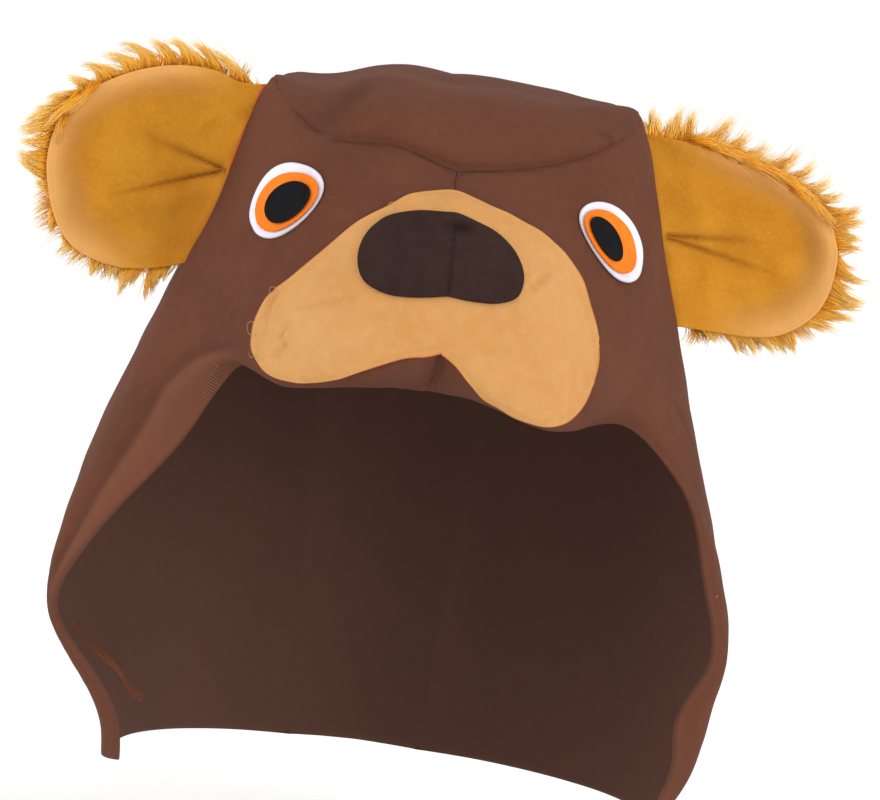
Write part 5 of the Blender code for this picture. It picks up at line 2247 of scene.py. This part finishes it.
@dataclass
class LooseThreads:
    """Curled thread ends at the muzzle's edge, and a speck of lint on the left panel."""

    form: HoodForm
    radius: float = 0.00008
    lift: float = 0.0017
    loops: Tuple[Tuple[Pair, ...], ...] = (
        ((-0.333, 0.258), (-0.347, 0.252), (-0.350, 0.270), (-0.340, 0.282), (-0.330, 0.268)),
        ((-0.303, 0.352), (-0.301, 0.375), (-0.290, 0.377), (-0.288, 0.362), (-0.297, 0.350)),
        ((-0.352, 0.203), (-0.348, 0.193), (-0.338, 0.206), (-0.333, 0.200), (-0.323, 0.212)),
        ((-0.113, 0.623), (-0.107, 0.642), (-0.102, 0.632), (-0.099, 0.610), (-0.105, 0.598)),
    )
    lint: Tuple[Pair, ...] = ((0.7020, 0.0500), (0.7028, 0.0480), (0.7035, 0.0460),
                              (0.7045, 0.0440), (0.7050, 0.0420))

    def build(self, wardrobe: Wardrobe) -> List[bpy.types.Object]:
        """Make the threads and the lint.

        Args:
            wardrobe: The finishes.

        Returns:
            The two pieces.
        """
        made = []
        for name, groups, finish, slot in (
                ("loose_threads", self.loops, "tan_thread", "tan_fleece"),
                ("lint_speck", (self.lint,), "lint_thread", "brown_fleece")):
            paths = []
            for group in groups:
                places = cubic(np.array(group), np.arange(5.0), np.linspace(0.0, 4.0, 17))
                wave = self.lift + 0.0003 * np.sin(np.linspace(0.0, 5.0, 17))
                wave = wave - (0.0 if name == "loose_threads" else self.lift * 0.75)
                paths.append(self.form.on_panels(places, wave))
            radii = np.full((len(paths), 17), self.radius)
            piece = Cloth.strands(name, np.array(paths), radii, np.full(len(paths), 0.3), sides=6)
            wardrobe.dress(piece, finish)
            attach(piece, "root")
            made.append(piece)
        return made


@dataclass
class EarEdge:
    """The raw cut edge that shows as a thin red line where an ear is sewn on."""

    ear: Ear
    end_up: float = -0.46
    radius: float = 0.0006

    def build(self, wardrobe: Wardrobe) -> bpy.types.Object:
        """Make the edge along the front of the ear's base.

        Args:
            wardrobe: The finishes.

        Returns:
            The edge's piece.
        """
        ear = self.ear
        up = np.linspace(ear.base_top - 0.01, self.end_up, 60)
        places = np.stack((np.zeros(60), up), axis=-1)
        path = ear.at(places, np.full(60, -0.0002))
        path[:, 0] += ear.side.value * 0.0010
        share = np.linspace(0.0, 1.0, 60)
        full = 0.25 + 1.6 * hump(share, 0.14) + 0.9 * ease(share, 0.40, 0.55)
        thick = self.radius * full * (0.9 + 0.25 * unevenness(path, 0.012, 81))
        thick = np.maximum(thick * ease(share, 1.0, 0.9), 0.00005)
        piece = Cloth.strands(f"ear_cut_edge_{ear.side.word}", path[None], thick[None],
                              np.array([0.4]), sides=8)
        wardrobe.dress(piece, "cut_edge_red")
        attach(piece, "root")
        return piece


@dataclass
class Studio:
    """Pale floor, soft light and the camera."""

    floor_height: float = -0.345
    azimuth: float = -3.8
    elevation: float = 6.0
    roll: float = 7.7
    focal_pixels: float = 5900.0
    distance: float = 2.478
    image: Tuple[int, int] = (880, 800)
    aim_pixel: Pair = (416.0, 430.0)
    aim: Triple = (0.0, -0.060, -0.140)

    def build_floor(self, wardrobe: Wardrobe) -> bpy.types.Object:
        """Lay the floor.

        Args:
            wardrobe: The finishes.

        Returns:
            The floor.
        """
        bpy.ops.object.select_all(action="DESELECT")
        bpy.ops.mesh.primitive_plane_add(size=40.0, location=(0.0, 0.0, self.floor_height))
        floor = bpy.context.object
        floor.name = "floor"
        wardrobe.dress(floor, "studio_floor")
        return floor

    def build_lights(self) -> None:
        """Soft light from the front, the sides and all round."""
        world = bpy.data.worlds.new("studio_air")
        world.use_nodes = True
        world.node_tree.nodes["Background"].inputs["Color"].default_value = (1.0, 1.0, 1.0, 1.0)
        world.node_tree.nodes["Background"].inputs["Strength"].default_value = 1.05
        bpy.context.scene.world = world
        bpy.context.scene.view_settings.view_transform = "Standard"
        lamps = (("key", (1.9, -1.9, 0.3), 1.6, 31.0), ("fill", (-2.4, -1.0, 0.3), 1.8, 25.0),
                 ("top", (0.0, 0.3, 2.2), 2.2, 5.0))
        for name, place, size, power in lamps:
            bpy.ops.object.light_add(type="AREA", location=place)
            lamp = bpy.context.object
            lamp.name = f"{name}_light"
            lamp.data.shape = "DISK"
            lamp.data.size = size
            lamp.data.energy = power
            towards = -(lamp.location - Matrix.Translation((0.0, 0.0, -0.15)).translation)
            lamp.rotation_euler = towards.to_track_quat("-Z", "Y").to_euler()

    def build_camera(self, form: HoodForm) -> bpy.types.Object:
        """Set the camera at the photograph's angle, roll and framing.

        Args:
            form: The hood's surfaces, for its seat.

        Returns:
            The camera.
        """
        turn, rise, roll = (math.radians(v) for v in (self.azimuth, self.elevation, self.roll))
        back = np.array((math.sin(turn) * math.cos(rise), -math.cos(turn) * math.cos(rise),
                         math.sin(rise)))
        right = np.array((math.cos(turn), math.sin(turn), 0.0))
        up = np.cross(right, -back)
        across = math.cos(roll) * right + math.sin(roll) * up
        upward = -math.sin(roll) * right + math.cos(roll) * up
        aim = np.array(self.aim) - form.seat
        pixel = self.distance / self.focal_pixels
        place = (aim + self.distance * back
                 - (self.aim_pixel[0] - self.image[0] / 2) * pixel * across
                 + (self.aim_pixel[1] - self.image[1] / 2) * pixel * upward)
        lens = bpy.data.cameras.new("camera")
        lens.sensor_width = 36.0
        lens.sensor_fit = "HORIZONTAL"
        lens.lens = 36.0 * self.focal_pixels / self.image[0]
        lens.clip_start, lens.clip_end = 0.05, 50.0
        camera = bpy.data.objects.new("camera", lens)
        bpy.context.scene.collection.objects.link(camera)
        camera.matrix_world = Matrix([[*row, place[k]] for k, row in enumerate(
            np.stack((across, upward, back), axis=-1))] + [[0.0, 0.0, 0.0, 1.0]])
        bpy.context.scene.camera = camera
        return camera


def main() -> None:
    """Build the hood's pieces in order and report each one."""
    logging.basicConfig(level=logging.INFO, format="%(message)s")
    wardrobe = Wardrobe()
    form = HoodForm()
    studio = Studio()
    studio.build_camera(form)
    studio.build_floor(wardrobe)
    studio.build_lights()
    made: List[bpy.types.Object] = []
    for side in Side:
        panel = SidePanel(form, side)
        made.append(panel.build(wardrobe))
        ear = Ear(form, side)
        made.extend(ear.build(wardrobe))
        if side is Side.RIGHT:
            made.append(EarEdge(ear).build(wardrobe))
    made.extend(ladder.build(wardrobe) for ladder in (
        Ladder(form, "hem_ladder_outside", Side.RIGHT, OUTSIDE_LADDER, 0.0040, 0.0015, -0.0019,
               "pale_brown_thread"),
        Ladder(form, "hem_ladder_inside", Side.RIGHT, INSIDE_LADDER, 0.0042, 0.0018,
               form.wall, "rust_thread")))
    made.append(CrownPanel(form).build(wardrobe))
    made.extend(Face(form).build(wardrobe))
    made.extend(LooseThreads(form).build(wardrobe))
    for piece in made:
        piece.data.calc_loop_triangles()
        log.info("%s: %d triangles", piece.name, len(piece.data.loop_triangles))


if __name__ == "__main__":
    main()
